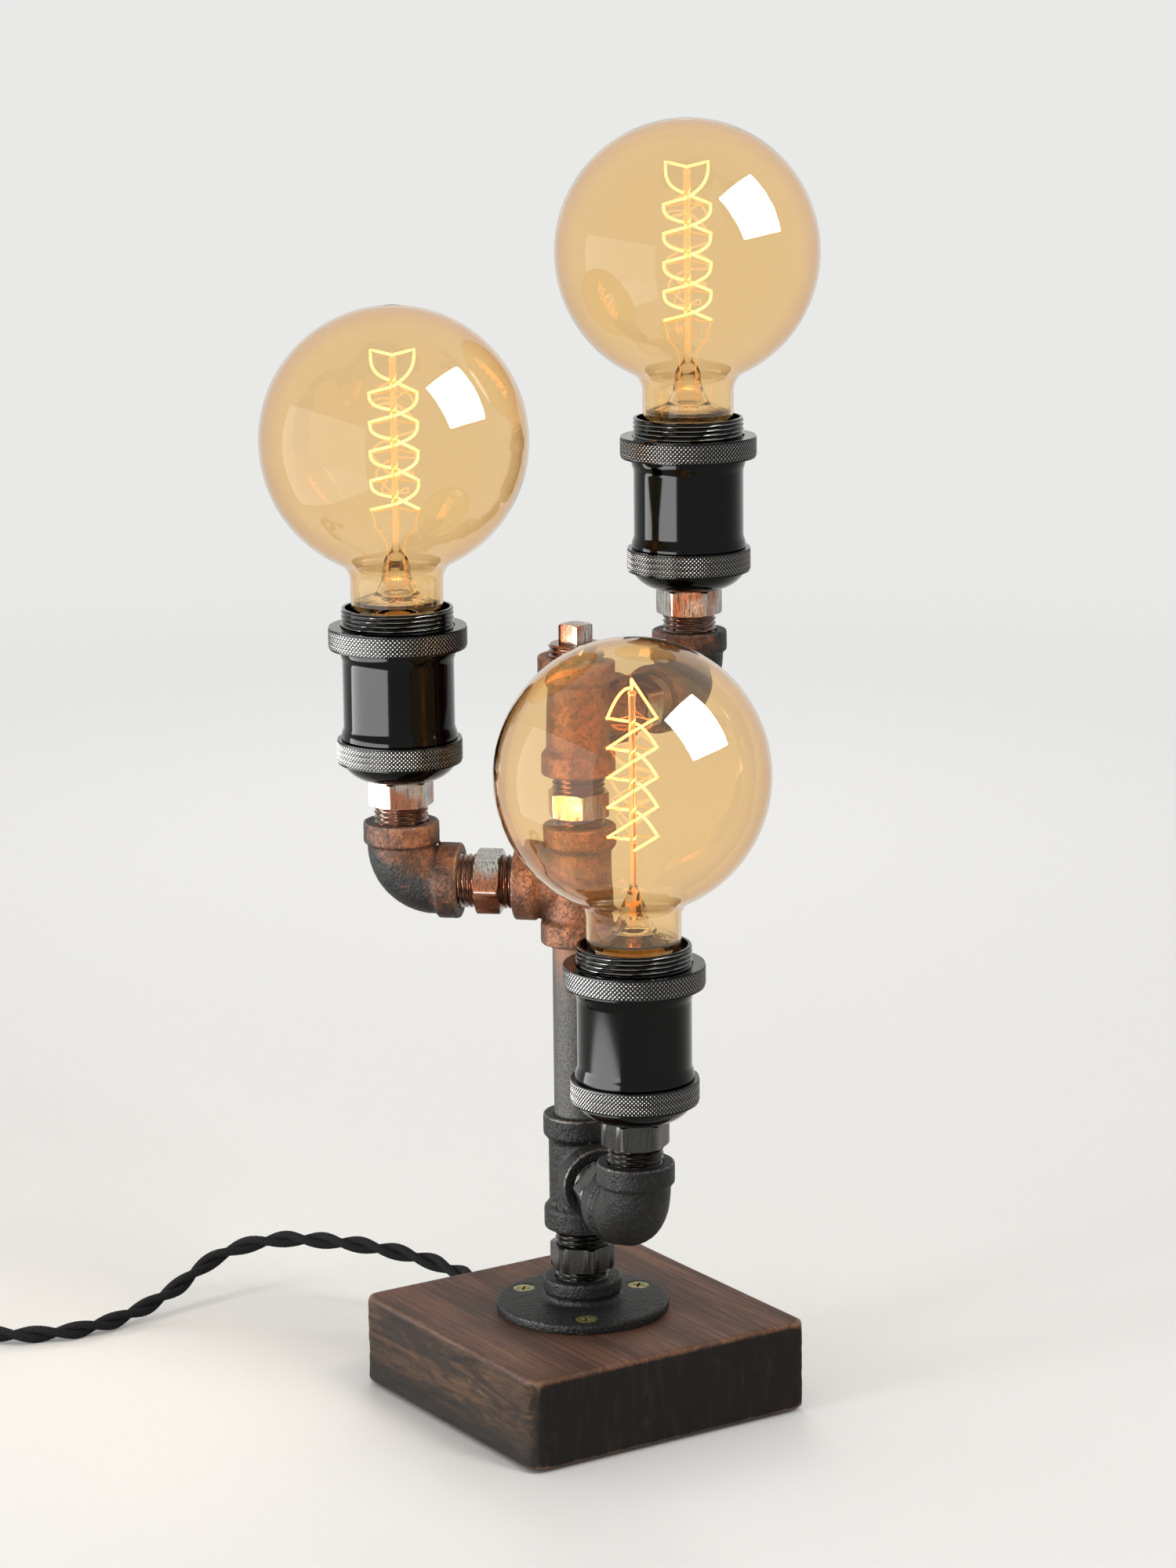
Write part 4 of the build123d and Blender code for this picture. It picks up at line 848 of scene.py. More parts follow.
def skin(node, name, voxel, rounds):
    """Even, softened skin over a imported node, ready for relief."""
    base = bpy.data.objects.new(name + "_base", frame["nodes"][node].data.copy())
    bpy.context.scene.collection.objects.link(base)
    remesh = base.modifiers.new("cells", "REMESH")
    remesh.mode = "VOXEL"
    remesh.voxel_size = voxel * 1
    remesh.use_smooth_shade = True
    soft = base.modifiers.new("soften", "SMOOTH")
    soft.factor = 0.5
    soft.iterations = rounds
    bpy.context.view_layer.update()
    evaluated = base.evaluated_get(bpy.context.evaluated_depsgraph_get())
    mesh = bpy.data.meshes.new_from_object(evaluated)
    mesh.name = name
    bpy.data.objects.remove(base)
    return mesh


def relieve(mesh, change):
    """Move each point along its normal by what change says for its place."""
    count = len(mesh.vertices)
    points = np.zeros(count * 3)
    mesh.vertices.foreach_get("co", points)
    points = points.reshape(-1, 3)
    normals = np.zeros(count * 3)
    mesh.vertices.foreach_get("normal", normals)
    normals = normals.reshape(-1, 3)
    shift = np.array([change(Vector(p), n) for p, n in zip(points, normals)])
    points += normals * shift[:, None]
    mesh.vertices.foreach_set("co", points.ravel())
    mesh.update()


def cast_relief(point, _normal):
    """Sand grain and slow swells of a casting, never proud of the model by more than a hair."""
    size = sizes().cast_grain
    grain = noise.noise(point * 700) * 0.5 + noise.noise(point * 1500 + Vector((3, 7, 1))) * 0.5
    swell = noise.noise(point * 130)
    return size * (grain + swell * 0.5 - 0.4)


SEAM_HALF = 0.38 * MM
SEAM_HEIGHT = 0.13 * MM


def parting_line(point, middle):
    """Low ridge where the halves of an elbow's mould met; middle is the way across its plane."""
    away = point.dot(middle) / SEAM_HALF
    return SEAM_HEIGHT * exp(-away * away)


class NodeSpan:
    """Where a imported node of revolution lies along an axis, and its points by radius."""

    def __init__(self, node, origin, direction):
        points = node_points(node) - np.array(origin, float)
        self.along = np.array(Vector(direction).normalized())
        self.height = points @ self.along
        self.out = points - self.height[:, None] * self.along
        self.radius = np.linalg.norm(self.out, axis=1)

    def where(self, low_radius, high_radius=1.0):
        chosen = self.height[(self.radius > low_radius) & (self.radius < high_radius)]
        return float(chosen.min()), float(chosen.max())


PIPE_THREAD_R = 9.7 * MM
HEX_APOTHEM = 10.5 * MM
NIPPLE_BORE_R = 6.5 * MM
SPIGOT_R, SPIGOT_BORE_R = 5.0 * MM, 3.5 * MM
ROOT_GAP = 0.15 * MM


def hex_nipple(name, node, origin, direction):
    """Hexagon with scalloped corners between two threads, on the place of a packed nipple."""
    span = NodeSpan(node, origin, direction)
    hex_low, hex_high = span.where(PIPE_THREAD_R + 0.5 * MM)
    thread_low, thread_high = span.where(PIPE_THREAD_R - 0.05 * MM)
    corner = span.radius > HEX_APOTHEM / cos(pi / 6) - 1.2 * MM
    spindle = Spindle(origin, direction)
    tip = span.out[np.argmax(np.where(corner, span.radius, 0))]
    start = atan2(float(tip @ spindle.across), float(tip @ spindle.side))
    size = sizes()
    shells = []
    low = min(thread_low, hex_low)
    high = thread_high
    profile = thread_profile(PIPE_THREAD_R, NIPPLE_BORE_R, low, high, size.pipe_pitch)
    offset = thread_offset(PIPE_THREAD_R, low, high, size.pipe_pitch, size.pipe_depth)
    points, faces, _, _ = turn_profile(spindle, profile, 72, offset)
    shells.append((points, faces))
    collar_bore = PIPE_THREAD_R - size.pipe_depth - ROOT_GAP
    *collar, rubbed_and_glint = polygon_collar(
        spindle, 6, HEX_APOTHEM, collar_bore, hex_low, hex_high, 0.9 * MM, start)
    shells.append(collar)
    spigot = span.height.max()
    if spigot > high + 1 * MM:
        tube = [(SPIGOT_R, high), (SPIGOT_R, spigot), (SPIGOT_BORE_R, spigot), (SPIGOT_BORE_R, high)]
        points, faces, _, _ = turn_profile(spindle, soften(tube, 0.3 * MM), 48)
        shells.append((points, faces))
    points, faces, number = join_shells(*shells)
    marks = {"thread": (number != 1).astype(float), "rubbed_and_glint": np.zeros(len(points))}
    marks["rubbed_and_glint"][number == 1] = rubbed_and_glint
    mesh = build_mesh(name, points, faces, marks, sharp=32)
    return new_piece(name, mesh, finish(turned_steel), "root", "machined_steel", (node,))


def ring_knurl(low, high, outer, count, depth):
    """Diamond knurling on the outside of a ring: pyramids between two sets of crossing grooves."""
    rise = 2 * pi * outer / count

    def ridge(phase):
        return 1 - np.abs((phase % 1.0) * 2 - 1)

    def offset(radius, angle, height):
        around = angle * count / (2 * pi)
        up = (height - low) / rise
        peak = np.minimum(ridge(around + up), ridge(around - up))
        edge = np.clip(np.minimum(height - low, high - height) / (0.25 * MM), 0, 1)
        return np.where(radius > outer - 1e-6, -depth * (1 - peak * edge), 0)

    return offset


def knurled_piece(name, node, profile, outer, low, high, centre, body):
    """A lampholder piece turned from its profile, with knurling on its widest land."""
    size = sizes()
    rows = max(int((high - low) / (0.30 * MM)), 4)
    knurl_rows = [(outer, z) for z in np.linspace(low, high, rows + 1)]
    full = profile(knurl_rows)
    steps = size.knurl_count * 6
    offset = ring_knurl(low, high, outer, size.knurl_count, size.knurl_depth)
    points, faces, radius, _ = turn_profile(Spindle(centre), full, steps, offset)
    turned = np.repeat(np.array(full)[:, 0][:, None], steps, 1).ravel()
    land = turned > outer - 1e-6
    peak = (radius - outer + size.knurl_depth) / size.knurl_depth
    # Knurl crests marked lighter, as abrasion and painted sheen.
    tips_worn_and_sheen = np.where(land, np.clip(peak * 2.4 - 1.25, 0, 1), 0)
    mesh = build_mesh(name, points, faces, {"tips_worn_and_sheen": tips_worn_and_sheen}, sharp=55)
    return new_piece(name, mesh, finish(black_pearl), body, "black_pearl", (node,))


def shade_ring(arm):
    node = f"{arm}_shade_ring"
    low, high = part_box(node)
    centre = holder_axis(arm)
    outer = (high.x - low.x) / 2
    inner = outer - 4.4 * MM
    edge = 0.35 * MM

    def profile(knurls):
        return ([(inner, low.z), (outer - edge, low.z)] + knurls
                + [(outer - edge, high.z), (inner, high.z)])

    return knurled_piece(f"{arm}_knurled_ring", node, profile, outer, low.z + edge, high.z - edge, centre,
                         f"ring_{arm}")


def holder_cup(arm):
    """Domed cup below the knurled rim."""
    node = f"{arm}_holder_cup"
    low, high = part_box(node)
    centre = holder_axis(arm)
    outer = (high.x - low.x) / 2
    rim_bottom = low.z + 6.7 * MM
    dome = outer - 1.85 * MM
    flat = 9.5 * MM
    edge = 0.35 * MM
    wall = 1.6 * MM
    hole = 5.05 * MM
    seat = 20.05 * MM
    bend = ((dome - flat) ** 2 + (rim_bottom - low.z) ** 2) / (2 * (rim_bottom - low.z))
    sweep = atan2(dome - flat, bend - (rim_bottom - low.z))
    curve = [(flat + bend * sin(sweep * k / 12), low.z + bend * (1 - cos(sweep * k / 12))) for k in range(13)]
    inside = [(r - wall * 0.7, z + wall) for r, z in curve[::-1]]

    def profile(knurls):
        return ([(hole, low.z)] + curve + [(outer - edge, rim_bottom)] + knurls
                + [(outer - edge, high.z), (seat, high.z), (seat, inside[0][1])]
                + inside + [(hole, low.z + wall)])

    return knurled_piece(f"{arm}_domed_cup", node, profile, outer, rim_bottom + edge, high.z - edge, centre,
                         "root")


def holder_shell(arm):
    """Polished tube, flared at both ends, whose neck carries the thread for the shade ring."""
    node = f"{arm}_holder_shell"
    low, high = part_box(node)
    size = sizes()
    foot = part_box(f"{arm}_holder_cup")[1].z
    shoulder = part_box(f"{arm}_shade_ring")[0].z - 0.3 * MM
    flare, waist, neck, bore = 20.7 * MM, 19.8 * MM, 20.0 * MM, 18.6 * MM
    run = 4.2 * MM
    curve = [(k / 8, 0.5 - 0.5 * cos(pi * k / 8)) for k in range(9)]
    lower = [(flare + (waist - flare) * s, foot + 0.8 * MM + run * t) for t, s in curve]
    upper = [(r, foot + shoulder - z) for r, z in lower[::-1]]
    lip = 0.3 * MM
    body = [(neck, low.z), (neck, foot), (flare - lip, foot + 0.02 * MM), (flare, foot + lip)]
    body += lower + upper + [(flare, shoulder - lip), (flare - lip, shoulder), (neck, shoulder)]
    rows = int((high.z - shoulder) / (size.neck_pitch / 10))
    thread = [(neck, z) for z in np.linspace(shoulder + 0.1 * MM, high.z, rows)]
    profile = body + thread + [(neck - 0.6 * MM, high.z), (bore, high.z), (bore, low.z)]
    cut = thread_offset(neck, shoulder, high.z, size.neck_pitch, size.neck_depth)

    def offset(radius, angle, height):
        return np.where(height > shoulder + 0.05 * MM, cut(np.where(np.abs(radius - neck) < 1e-6, radius, 0),
                                                           angle, height), 0)

    points, faces, radius, height = turn_profile(Spindle(holder_axis(arm)), profile, 128, offset)
    # Neck thread crests marked lighter, as abrasion and painted sheen.
    tips_worn_and_sheen = np.where((height > shoulder) & (radius > neck - 0.12 * MM), 0.35, 0)
    mesh = build_mesh(f"{arm}_shell", points, faces, {"tips_worn_and_sheen": tips_worn_and_sheen}, sharp=38)
    return new_piece(f"{arm}_plated_shell", mesh, finish(black_pearl), "root", "black_pearl", (node,))


def bulb_glass(arm):
    """Blown globe on a short neck, with its wall as a real thickness."""
    node = f"{arm}_bulb_glass"
    low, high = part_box(node)
    globe = globe_centre(arm)
    globe_r = (high.x - low.x) / 2
    wall = sizes().glass_wall
    neck = 16.4 * MM
    foot = 13.05 * MM
    taper = low.z + 5.3 * MM
    blend = 7.0 * MM
    lean = atan2(sqrt((globe_r + blend) ** 2 - (neck + blend) ** 2), neck + blend)
    blend_z = globe.z - (globe_r + blend) * sin(lean)

    def half(inset):
        around = [(neck - inset, blend_z)]
        bend = blend + inset
        around += [(neck + blend - bend * cos(lean * k / 8), blend_z + bend * sin(lean * k / 8))
                   for k in range(1, 9)]
        sweep = pi / 2 + lean
        radius = globe_r - inset
        around += [(radius * cos(-lean + sweep * k / 40), globe.z + radius * sin(-lean + sweep * k / 40))
                   for k in range(1, 40)]
        around.append((1e-6, globe.z + radius))
        return around

    neck_curve = [(foot + (neck - foot) * (0.5 - 0.5 * cos(pi * k / 6)), low.z + (taper - low.z) * k / 6)
                  for k in range(7)]
    inner_curve = [(max(r - wall, foot - wall), z) for r, z in neck_curve[::-1]]
    profile = neck_curve + half(0) + half(wall)[::-1] + inner_curve
    points, faces, _, _ = turn_profile(Spindle(Vector((globe.x, globe.y, 0))), profile, 96)
    mesh = build_mesh(f"{arm}_globe", points, faces, sharp=0)
    return new_piece(f"{arm}_globe", mesh, finish(amber_glass), f"bulb_{arm}", "amber_glass", (node,))


def bulb_cap(arm):
    """Screw cap with its rolled thread, black insulator and solder tip."""
    node = f"{arm}_bulb_cap"
    low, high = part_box(node)
    centre = holder_axis(arm)
    outer = (high.x - low.x) / 2
    bottom = low.z + 4.8 * MM
    pitch = 3.6 * MM
    heights = np.linspace(bottom + 1 * MM, high.z - 1.5 * MM, 60)
    profile = ([(outer - 2 * MM, bottom), (outer - 1 * MM, bottom)] + [(outer, z) for z in heights]
               + [(outer, high.z), (outer - 0.9 * MM, high.z), (outer - 1.4 * MM, bottom + 1.2 * MM),
                  (outer - 2 * MM, bottom + 1.2 * MM)])

    def offset(radius, angle, height):
        phase = (height / pitch - angle / (2 * pi)) * 2 * pi
        fade = np.clip((heights[-1] - height) / pitch, 0, 1)
        return np.where(radius > outer - 1e-6, -0.45 * MM * (1 - np.cos(phase)) * fade, 0)

    points, faces, _, _ = turn_profile(Spindle(centre), profile, 72, offset)
    brass = build_mesh(f"{arm}_cap", points, faces, sharp=50)
    piece = new_piece(f"{arm}_screw_cap", brass, finish(cap_brass), f"bulb_{arm}", "brass", (node,))
    cone = soften([(1e-6, low.z + 1.5 * MM), (4.75 * MM, low.z + 1.5 * MM), (outer - 2 * MM, bottom),
                   (1e-6, bottom)], 0.4 * MM)
    points, faces, _, _ = turn_profile(Spindle(centre), cone, 48)
    insulator = new_piece(f"{arm}_cap_insulator", build_mesh(f"{arm}_insulator", points, faces),
                          finish(moulded_plastic, "black", 0.25), f"bulb_{arm}", "brass", (node,))
    tip = soften([(1e-6, low.z), (3.5 * MM, low.z), (4.75 * MM, low.z + 1.5 * MM), (1e-6, low.z + 1.5 * MM)],
                 0.8 * MM)
    points, faces, _, _ = turn_profile(Spindle(centre), tip, 32)
    solder = new_piece(f"{arm}_cap_tip", build_mesh(f"{arm}_tip", points, faces), finish(turned_steel),
                       f"bulb_{arm}", "brass", (node,))
    return piece, insulator, solder


CAGE_LEVELS = 5
CAGE_PITCH = 10.3 * MM
CAGE_TOP = 20.0 * MM
CAGE_DROP = 3.0 * MM
CAGE_RADIUS = 8.4 * MM
CROWN_HEIGHT = 32.0 * MM
CROWN_HALF = 7.6 * MM
CAGE_TURNS = {"front": 58.0, "left": -32.0, "back": -32.0}
CROWN_DIP = 1.9 * MM
CAGE_SLACK = {"front": (0.0, -0.3), "left": (0.85, 1.0), "back": (0.85, 1.0)}
ROD_TOP = 29.0 * MM
STEM_TOP = -40.0 * MM


def cage_point(arm, angle, height, radius=CAGE_RADIUS):
    turn = radians(angle + CAGE_TURNS[arm])
    return globe_centre(arm) + Vector((radius * cos(turn), radius * sin(turn), height))


def hanging(start, end, slack, steps=9):
    """Points from start towards end on a wire: straight without slack, with it steep below its upper end."""
    out = []
    for k in range(steps):
        across, down = (k / steps) ** (1 + 1.4 * slack), (k / steps) ** (1 - 0.38 * slack)
        point = start.lerp(end, across)
        point.z = start.z + (end.z - start.z) * down
        out.append(point)
    return out


def drooping(start, end, dip, steps=8):
    """Points from start towards end on a wire whose middle has sunk by the dip."""
    out = [start.lerp(end, k / steps) for k in range(steps)]
    for k, point in enumerate(out):
        point.z -= dip * (1 - abs(2 * k / steps - 1))
    return out


def wind_down(strand, slacks):
    """A strand from hook to hook: taut to the next hook of a pair, slack on its way to the next level."""
    path = []
    for number, (a, b) in enumerate(zip(strand, strand[1:])):
        path += hanging(a, b, 0.0 if number % 2 == 0 else slacks[number // 2 % 2])
    return path + [strand[-1]]


def filament(arm):
    """One glowing wire: two strands that wind down through the hooks from a crown over the rod."""
    slacks = [slack * sizes().filament_slack for slack in CAGE_SLACK[arm]]
    strands = []
    for start in (270, 90):
        strand = []
        for step in range(2 * CAGE_LEVELS):
            level, second = divmod(step, 2)
            height = CAGE_TOP - level * CAGE_PITCH - second * CAGE_DROP
            strand.append(cage_point(arm, start - 90 * step, height))
        strands.append(strand)
    crown = [cage_point(arm, 0, CROWN_HEIGHT, CROWN_HALF), cage_point(arm, 180, CROWN_HEIGHT, CROWN_HALF)]
    path = []
    wound = [wind_down(strands[0], slacks), wind_down(strands[1], slacks[::-1])]
    path += wound[0][::-1]
    path += hanging(crown[0], strands[0][0], slacks[0])[:0:-1]
    path += drooping(crown[0], crown[1], CROWN_DIP)
    path += hanging(crown[1], strands[1][0], slacks[1])
    path += wound[1]
    points, faces = tube_shell(path, sizes().filament_radius, 8)
    mesh = build_mesh(f"{arm}_filament", points, faces, sharp=0)
    return new_piece(f"{arm}_glowing_filament", mesh, finish(glowing_wire), f"bulb_{arm}", "filament",
                     (f"{arm}_bulb_filament",))


def stem(arm):
    """Glass stem with its flare, pinch and rod, and the wires that hold and feed the filament."""
    globe = globe_centre(arm)
    low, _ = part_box(f"{arm}_bulb_stem")
    flare = (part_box(f"{arm}_bulb_stem")[1].x - low.x) / 2
    base = low.z - globe.z
    tube = 5.0 * MM
    outer = [(flare, base), (flare, base + 0.9 * MM), (tube + 2.5 * MM, base + 3.4 * MM),
             (tube + 0.4 * MM, base + 8 * MM), (tube, base + 12 * MM), (tube, STEM_TOP - 5 * MM),
             (tube * 0.78, STEM_TOP - 1.2 * MM), (1.6 * MM, STEM_TOP + 1.2 * MM)]
    rod = [(1.2 * MM, STEM_TOP + 5 * MM), (1.2 * MM, ROD_TOP - 1.2 * MM), (1.7 * MM, ROD_TOP - 0.4 * MM),
           (1.0 * MM, ROD_TOP + 0.5 * MM), (1e-6, ROD_TOP + 0.7 * MM)]
    inside = [(1e-6, STEM_TOP - 7 * MM), (tube - 1.4 * MM, STEM_TOP - 9 * MM), (tube - 1 * MM, base + 9 * MM),
              (tube + 1.2 * MM, base + 3.2 * MM)]
    profile = [(r, globe.z + z) for r, z in outer + rod + inside]
    points, faces, _, height = turn_profile(
        Spindle(Vector((globe.x, globe.y, 0))), soften(profile, 1.2 * MM, 4), 48)
    squeeze = np.clip(1 - np.abs(height - globe.z - STEM_TOP + 2 * MM) / (6 * MM), 0, 1)
    side = np.array(cage_point(arm, 90, 0, 1.0) - globe)
    out = (points - np.array(globe)) @ side
    points = points - np.outer(out * squeeze * 0.45, side)
    rod_mark = np.clip((height - globe.z - STEM_TOP - 2 * MM) / (4 * MM), 0, 1)
    mesh = build_mesh(f"{arm}_stem", points, faces, {"rod": rod_mark}, sharp=0)
    glass = new_piece(f"{arm}_glass_stem", mesh, finish(stem_glass), f"bulb_{arm}", "stem_glass",
                      (f"{arm}_bulb_stem",))
    wires = []
    reach = CAGE_RADIUS + 0.4 * MM
    for level in range(CAGE_LEVELS):
        for second in (0, 1):
            height = CAGE_TOP - level * CAGE_PITCH - second * CAGE_DROP
            for half in (0, 180):
                angle = 90 + 90 * second + half
                wires.append([cage_point(arm, angle, height + 0.6 * MM, 0.9 * MM),
                              cage_point(arm, angle, height - 0.5 * MM, reach * 0.6),
                              cage_point(arm, angle, height - 0.55 * MM, reach),
                              cage_point(arm, angle, height + 0.45 * MM, reach + 0.25 * MM)])
    for half in (0, 180):
        angle = 90 + 90 * (2 * CAGE_LEVELS - 1) + half
        end = CAGE_TOP - (CAGE_LEVELS - 1) * CAGE_PITCH - CAGE_DROP
        wires.append([cage_point(arm, angle, base + 4 * MM, 2.6 * MM),
                      cage_point(arm, angle, STEM_TOP - 2 * MM, 2.4 * MM),
                      cage_point(arm, angle, STEM_TOP + 5 * MM, 3.6 * MM),
                      cage_point(arm, angle, end - 7 * MM, CAGE_RADIUS * 0.8),
                      cage_point(arm, angle, end, CAGE_RADIUS)])
    points, faces, _ = join_shells(*(tube_shell(wire, 0.20 * MM, 6) for wire in wires))
    hooks = new_piece(f"{arm}_hook_wires", build_mesh(f"{arm}_hooks", points, faces, sharp=0),
                      finish(hook_wire), f"bulb_{arm}", "filament", (f"{arm}_bulb_stem",))
    return glass, hooks


CORD_D = 6.4 * MM
CORD_EXIT = Vector((0, 73.0, 23.0)) * MM
CORD_ROUTE = [Vector(p) * MM for p in (
    (0.0, 88.0, 23.0),
    (-6.0, 103.0, 25.2),
    (-17.0, 119.0, 27.4),
    (-29.0, 137.0, 27.6),
    (-43.0, 155.5, 26.2),
    (-61.0, 167.5, 20.0),
    (-81.5, 165.5, 9.0),
    (-103.0, 163.0, 3.6),
    (-125.0, 160.5, 3.2),
    (-143.0, 167.0, 3.2),
    (-155.5, 174.4, 4.0),
    (-166.5, 180.9, 7.5),
    (-177.0, 187.1, 7.5),
)]
SWITCH_LENGTH = 62.0 * MM
COIL_LEAD = 33.0 * MM
COIL_TURNS = 3
COIL_PITCH = 6.9 * MM
COIL_OUTER_R = 46.0 * MM
COIL_CLIMB_INSET = 1.8 * MM
COIL_POINTS = 16
PLUG_LEAD = 24.0 * MM
PLUG_TURN = radians(-25.0)
FLOOR_Z = CORD_D / 2


def coil_route(touch, heading, left):
    """Control points of the coil: three turns in, half a turn up to the next layer, three turns out."""
    centre = touch + left * COIL_OUTER_R
    swell = 1 / cos(pi / COIL_POINTS) ** 0.75
    half = COIL_POINTS // 2
    out = []
    for i in range(1, (4 * COIL_TURNS + 1) * half):
        k = i / half
        inward = min(k, 2 * COIL_TURNS)
        outward = max(k - 2 * COIL_TURNS - 1, 0)
        inset = COIL_CLIMB_INSET * max(0, 1 - max(0, abs(k - 2 * COIL_TURNS - 0.5) - 0.5))
        radius = (COIL_OUTER_R - (inward - outward) * COIL_PITCH / 2 - inset) * swell
        climb = min(max(k - 2 * COIL_TURNS, 0), 1)
        turn = pi * k
        place = centre + (heading * sin(turn) - left * cos(turn)) * radius
        out.append(Vector((place.x, place.y, FLOOR_Z + COIL_PITCH * climb)))
    return out


def cord_route():
    """All control points of the cord, from the gland's tip to the plug."""
    heading = (CORD_ROUTE[-1] - CORD_ROUTE[-2]).normalized()
    left = UP.cross(heading)
    leave = CORD_ROUTE[-1] + heading * SWITCH_LENGTH
    touch = leave + heading * COIL_LEAD
    touch.z = FLOOR_Z
    points = [CORD_EXIT] + CORD_ROUTE
    points += [CORD_ROUTE[-1] + heading * SWITCH_LENGTH * t for t in (0.33, 0.67)]
    points += [leave, leave + heading * 8 * MM, touch - heading * 9 * MM, touch]
    points += coil_route(touch, heading, left)
    coil_end = touch + left * (2 * COIL_OUTER_R)
    coil_end.z = FLOOR_Z + COIL_PITCH
    plug_heading = Quaternion(UP, PLUG_TURN) @ -heading
    plug_low, plug_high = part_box("plug_body")
    bend_end = coil_end + (plug_heading - heading).normalized() * PLUG_LEAD
    bend_end.z = (plug_low.z + plug_high.z) / 2
    points += [coil_end, coil_end - heading * PLUG_LEAD / 2, bend_end, bend_end + plug_heading * CORD_D]
    return points


def smooth_line(points):
    """Points along the NURBS curve that has the given control points."""
    curve = bpy.data.curves.new("cord_line", "CURVE")
    curve.dimensions = "3D"
    spline = curve.splines.new("NURBS")
    spline.points.add(len(points) - 1)
    for target, point in zip(spline.points, points):
        target.co = (*point, 1)
    spline.order_u = 3
    spline.use_endpoint_u = True
    curve.resolution_u = 6
    line = bpy.data.objects.new("cord_line", curve)
    bpy.context.scene.collection.objects.link(line)
    bpy.context.view_layer.update()
    mesh = bpy.data.meshes.new_from_object(line.evaluated_get(bpy.context.evaluated_depsgraph_get()))
    out = np.array([tuple(v.co) for v in mesh.vertices])
    bpy.data.objects.remove(line)
    bpy.data.meshes.remove(mesh)
    return out


def even_line(points, spacing):
    """The same line with points an even distance apart."""
    steps = np.linalg.norm(np.diff(points, axis=0), axis=1)
    along = np.concatenate(([0], np.cumsum(steps)))
    count = int(along[-1] / spacing)
    wanted = np.linspace(0, along[-1], count + 1)
    return np.stack([np.interp(wanted, along, points[:, i]) for i in range(3)], 1), wanted


def twisted_cord(line):
    """Two braided strands laid round each other along a line."""
    size = sizes()
    spacing = 1.5 * MM
    path, along = even_line(line, spacing)
    tangents = np.gradient(path, axis=0)
    tangents /= np.linalg.norm(tangents, axis=1)[:, None]
    side = np.cross(tangents[0], (0, 0, 1))
    side /= np.linalg.norm(side)
    sides, acrosses = [], []
    for tangent in tangents:
        side = side - tangent * np.dot(side, tangent)
        side /= np.linalg.norm(side)
        sides.append(side)
        acrosses.append(np.cross(tangent, side))
    sides, acrosses = np.array(sides), np.array(acrosses)
    turn = 2 * pi * along / size.twist_pitch
    offset = size.strand_radius * 0.97
    ring = 14
    angles = np.linspace(0, 2 * pi, ring, endpoint=False)
    lean = atan2(2 * pi * offset, size.twist_pitch)
    points, faces, uv = [], [], []
    for strand in (0, pi):
        out = np.cos(turn + strand)[:, None] * sides + np.sin(turn + strand)[:, None] * acrosses
        around = np.cross(tangents, out)
        centre = path + out * offset
        tilted = around * cos(lean) - tangents * sin(lean)
        start = sum(len(p) for p in points)
        skin_points = (centre[:, None, :]
                       + size.strand_radius * (np.cos(angles)[None, :, None] * out[:, None, :]
                                               + np.sin(angles)[None, :, None] * tilted[:, None, :]))
        points.append(skin_points.reshape(-1, 3))
        faces += grid_faces(len(path), ring, start)
        faces.append(tuple(range(start, start + ring))[::-1])
        faces.append(tuple(range(start + (len(path) - 1) * ring, start + len(path) * ring)))
        fold = np.minimum(np.arange(ring), ring - np.arange(ring)) / ring
        uv.append(np.stack([np.repeat(fold[None, :], len(path), 0).ravel(),
                            np.repeat(along[:, None] / MM, ring, 1).ravel()], 1))
    points = np.concatenate(points)
    points[:, 2] = np.maximum(points[:, 2], 0.08 * MM)
    return build_mesh("twisted_cord", points, faces, uv=np.concatenate(uv), sharp=0)


SENSOR_WIDTH = 36.0
FOCAL_PIXELS, FRAME_PIXELS = 5510, 2000


class LAMP_OT_camera(bpy.types.Operator):
    """Place the camera where the photograph was taken from"""

    bl_idname = "lamp.camera"
    bl_label = "Camera"

    def execute(self, context):
        azimuth, pitch, roll = radians(-32.8), radians(12.2), radians(-0.6)
        target = Vector((3.2, -2.1, 228.2)) * MM
        distance = 1.528
        back = Vector((sin(azimuth) * cos(pitch), -cos(azimuth) * cos(pitch), sin(pitch)))
        data = bpy.data.cameras.new("photo_camera")
        data.sensor_width = SENSOR_WIDTH
        data.lens = SENSOR_WIDTH * FOCAL_PIXELS / FRAME_PIXELS
        camera = bpy.data.objects.new("photo_camera", data)
        context.scene.collection.objects.link(camera)
        camera.location = target + back * distance
        camera.rotation_mode = "QUATERNION"
        aim = (-back).to_track_quat("-Z", "Y")
        camera.rotation_quaternion = aim @ Quaternion((0, 0, 1), roll)
        context.scene.camera = camera
        return {"FINISHED"}


class LAMP_OT_cord(bpy.types.Operator):
    """Lay the twisted cord from the gland over the table, through its switch, into its coil and plug"""

    bl_idname = "lamp.cord"
    bl_label = "Cord"

    def execute(self, context):
        line = smooth_line(cord_route())
        cord = new_piece("twisted_cord", twisted_cord(line), finish(braided_cloth), "root", "cord_fabric",
                         ("cord_lead", "cord_coil"))
        length = float(np.linalg.norm(np.diff(line, axis=0), axis=1).sum())
        print(f"cord line: {length:.3f} m")
        return {"FINISHED"}


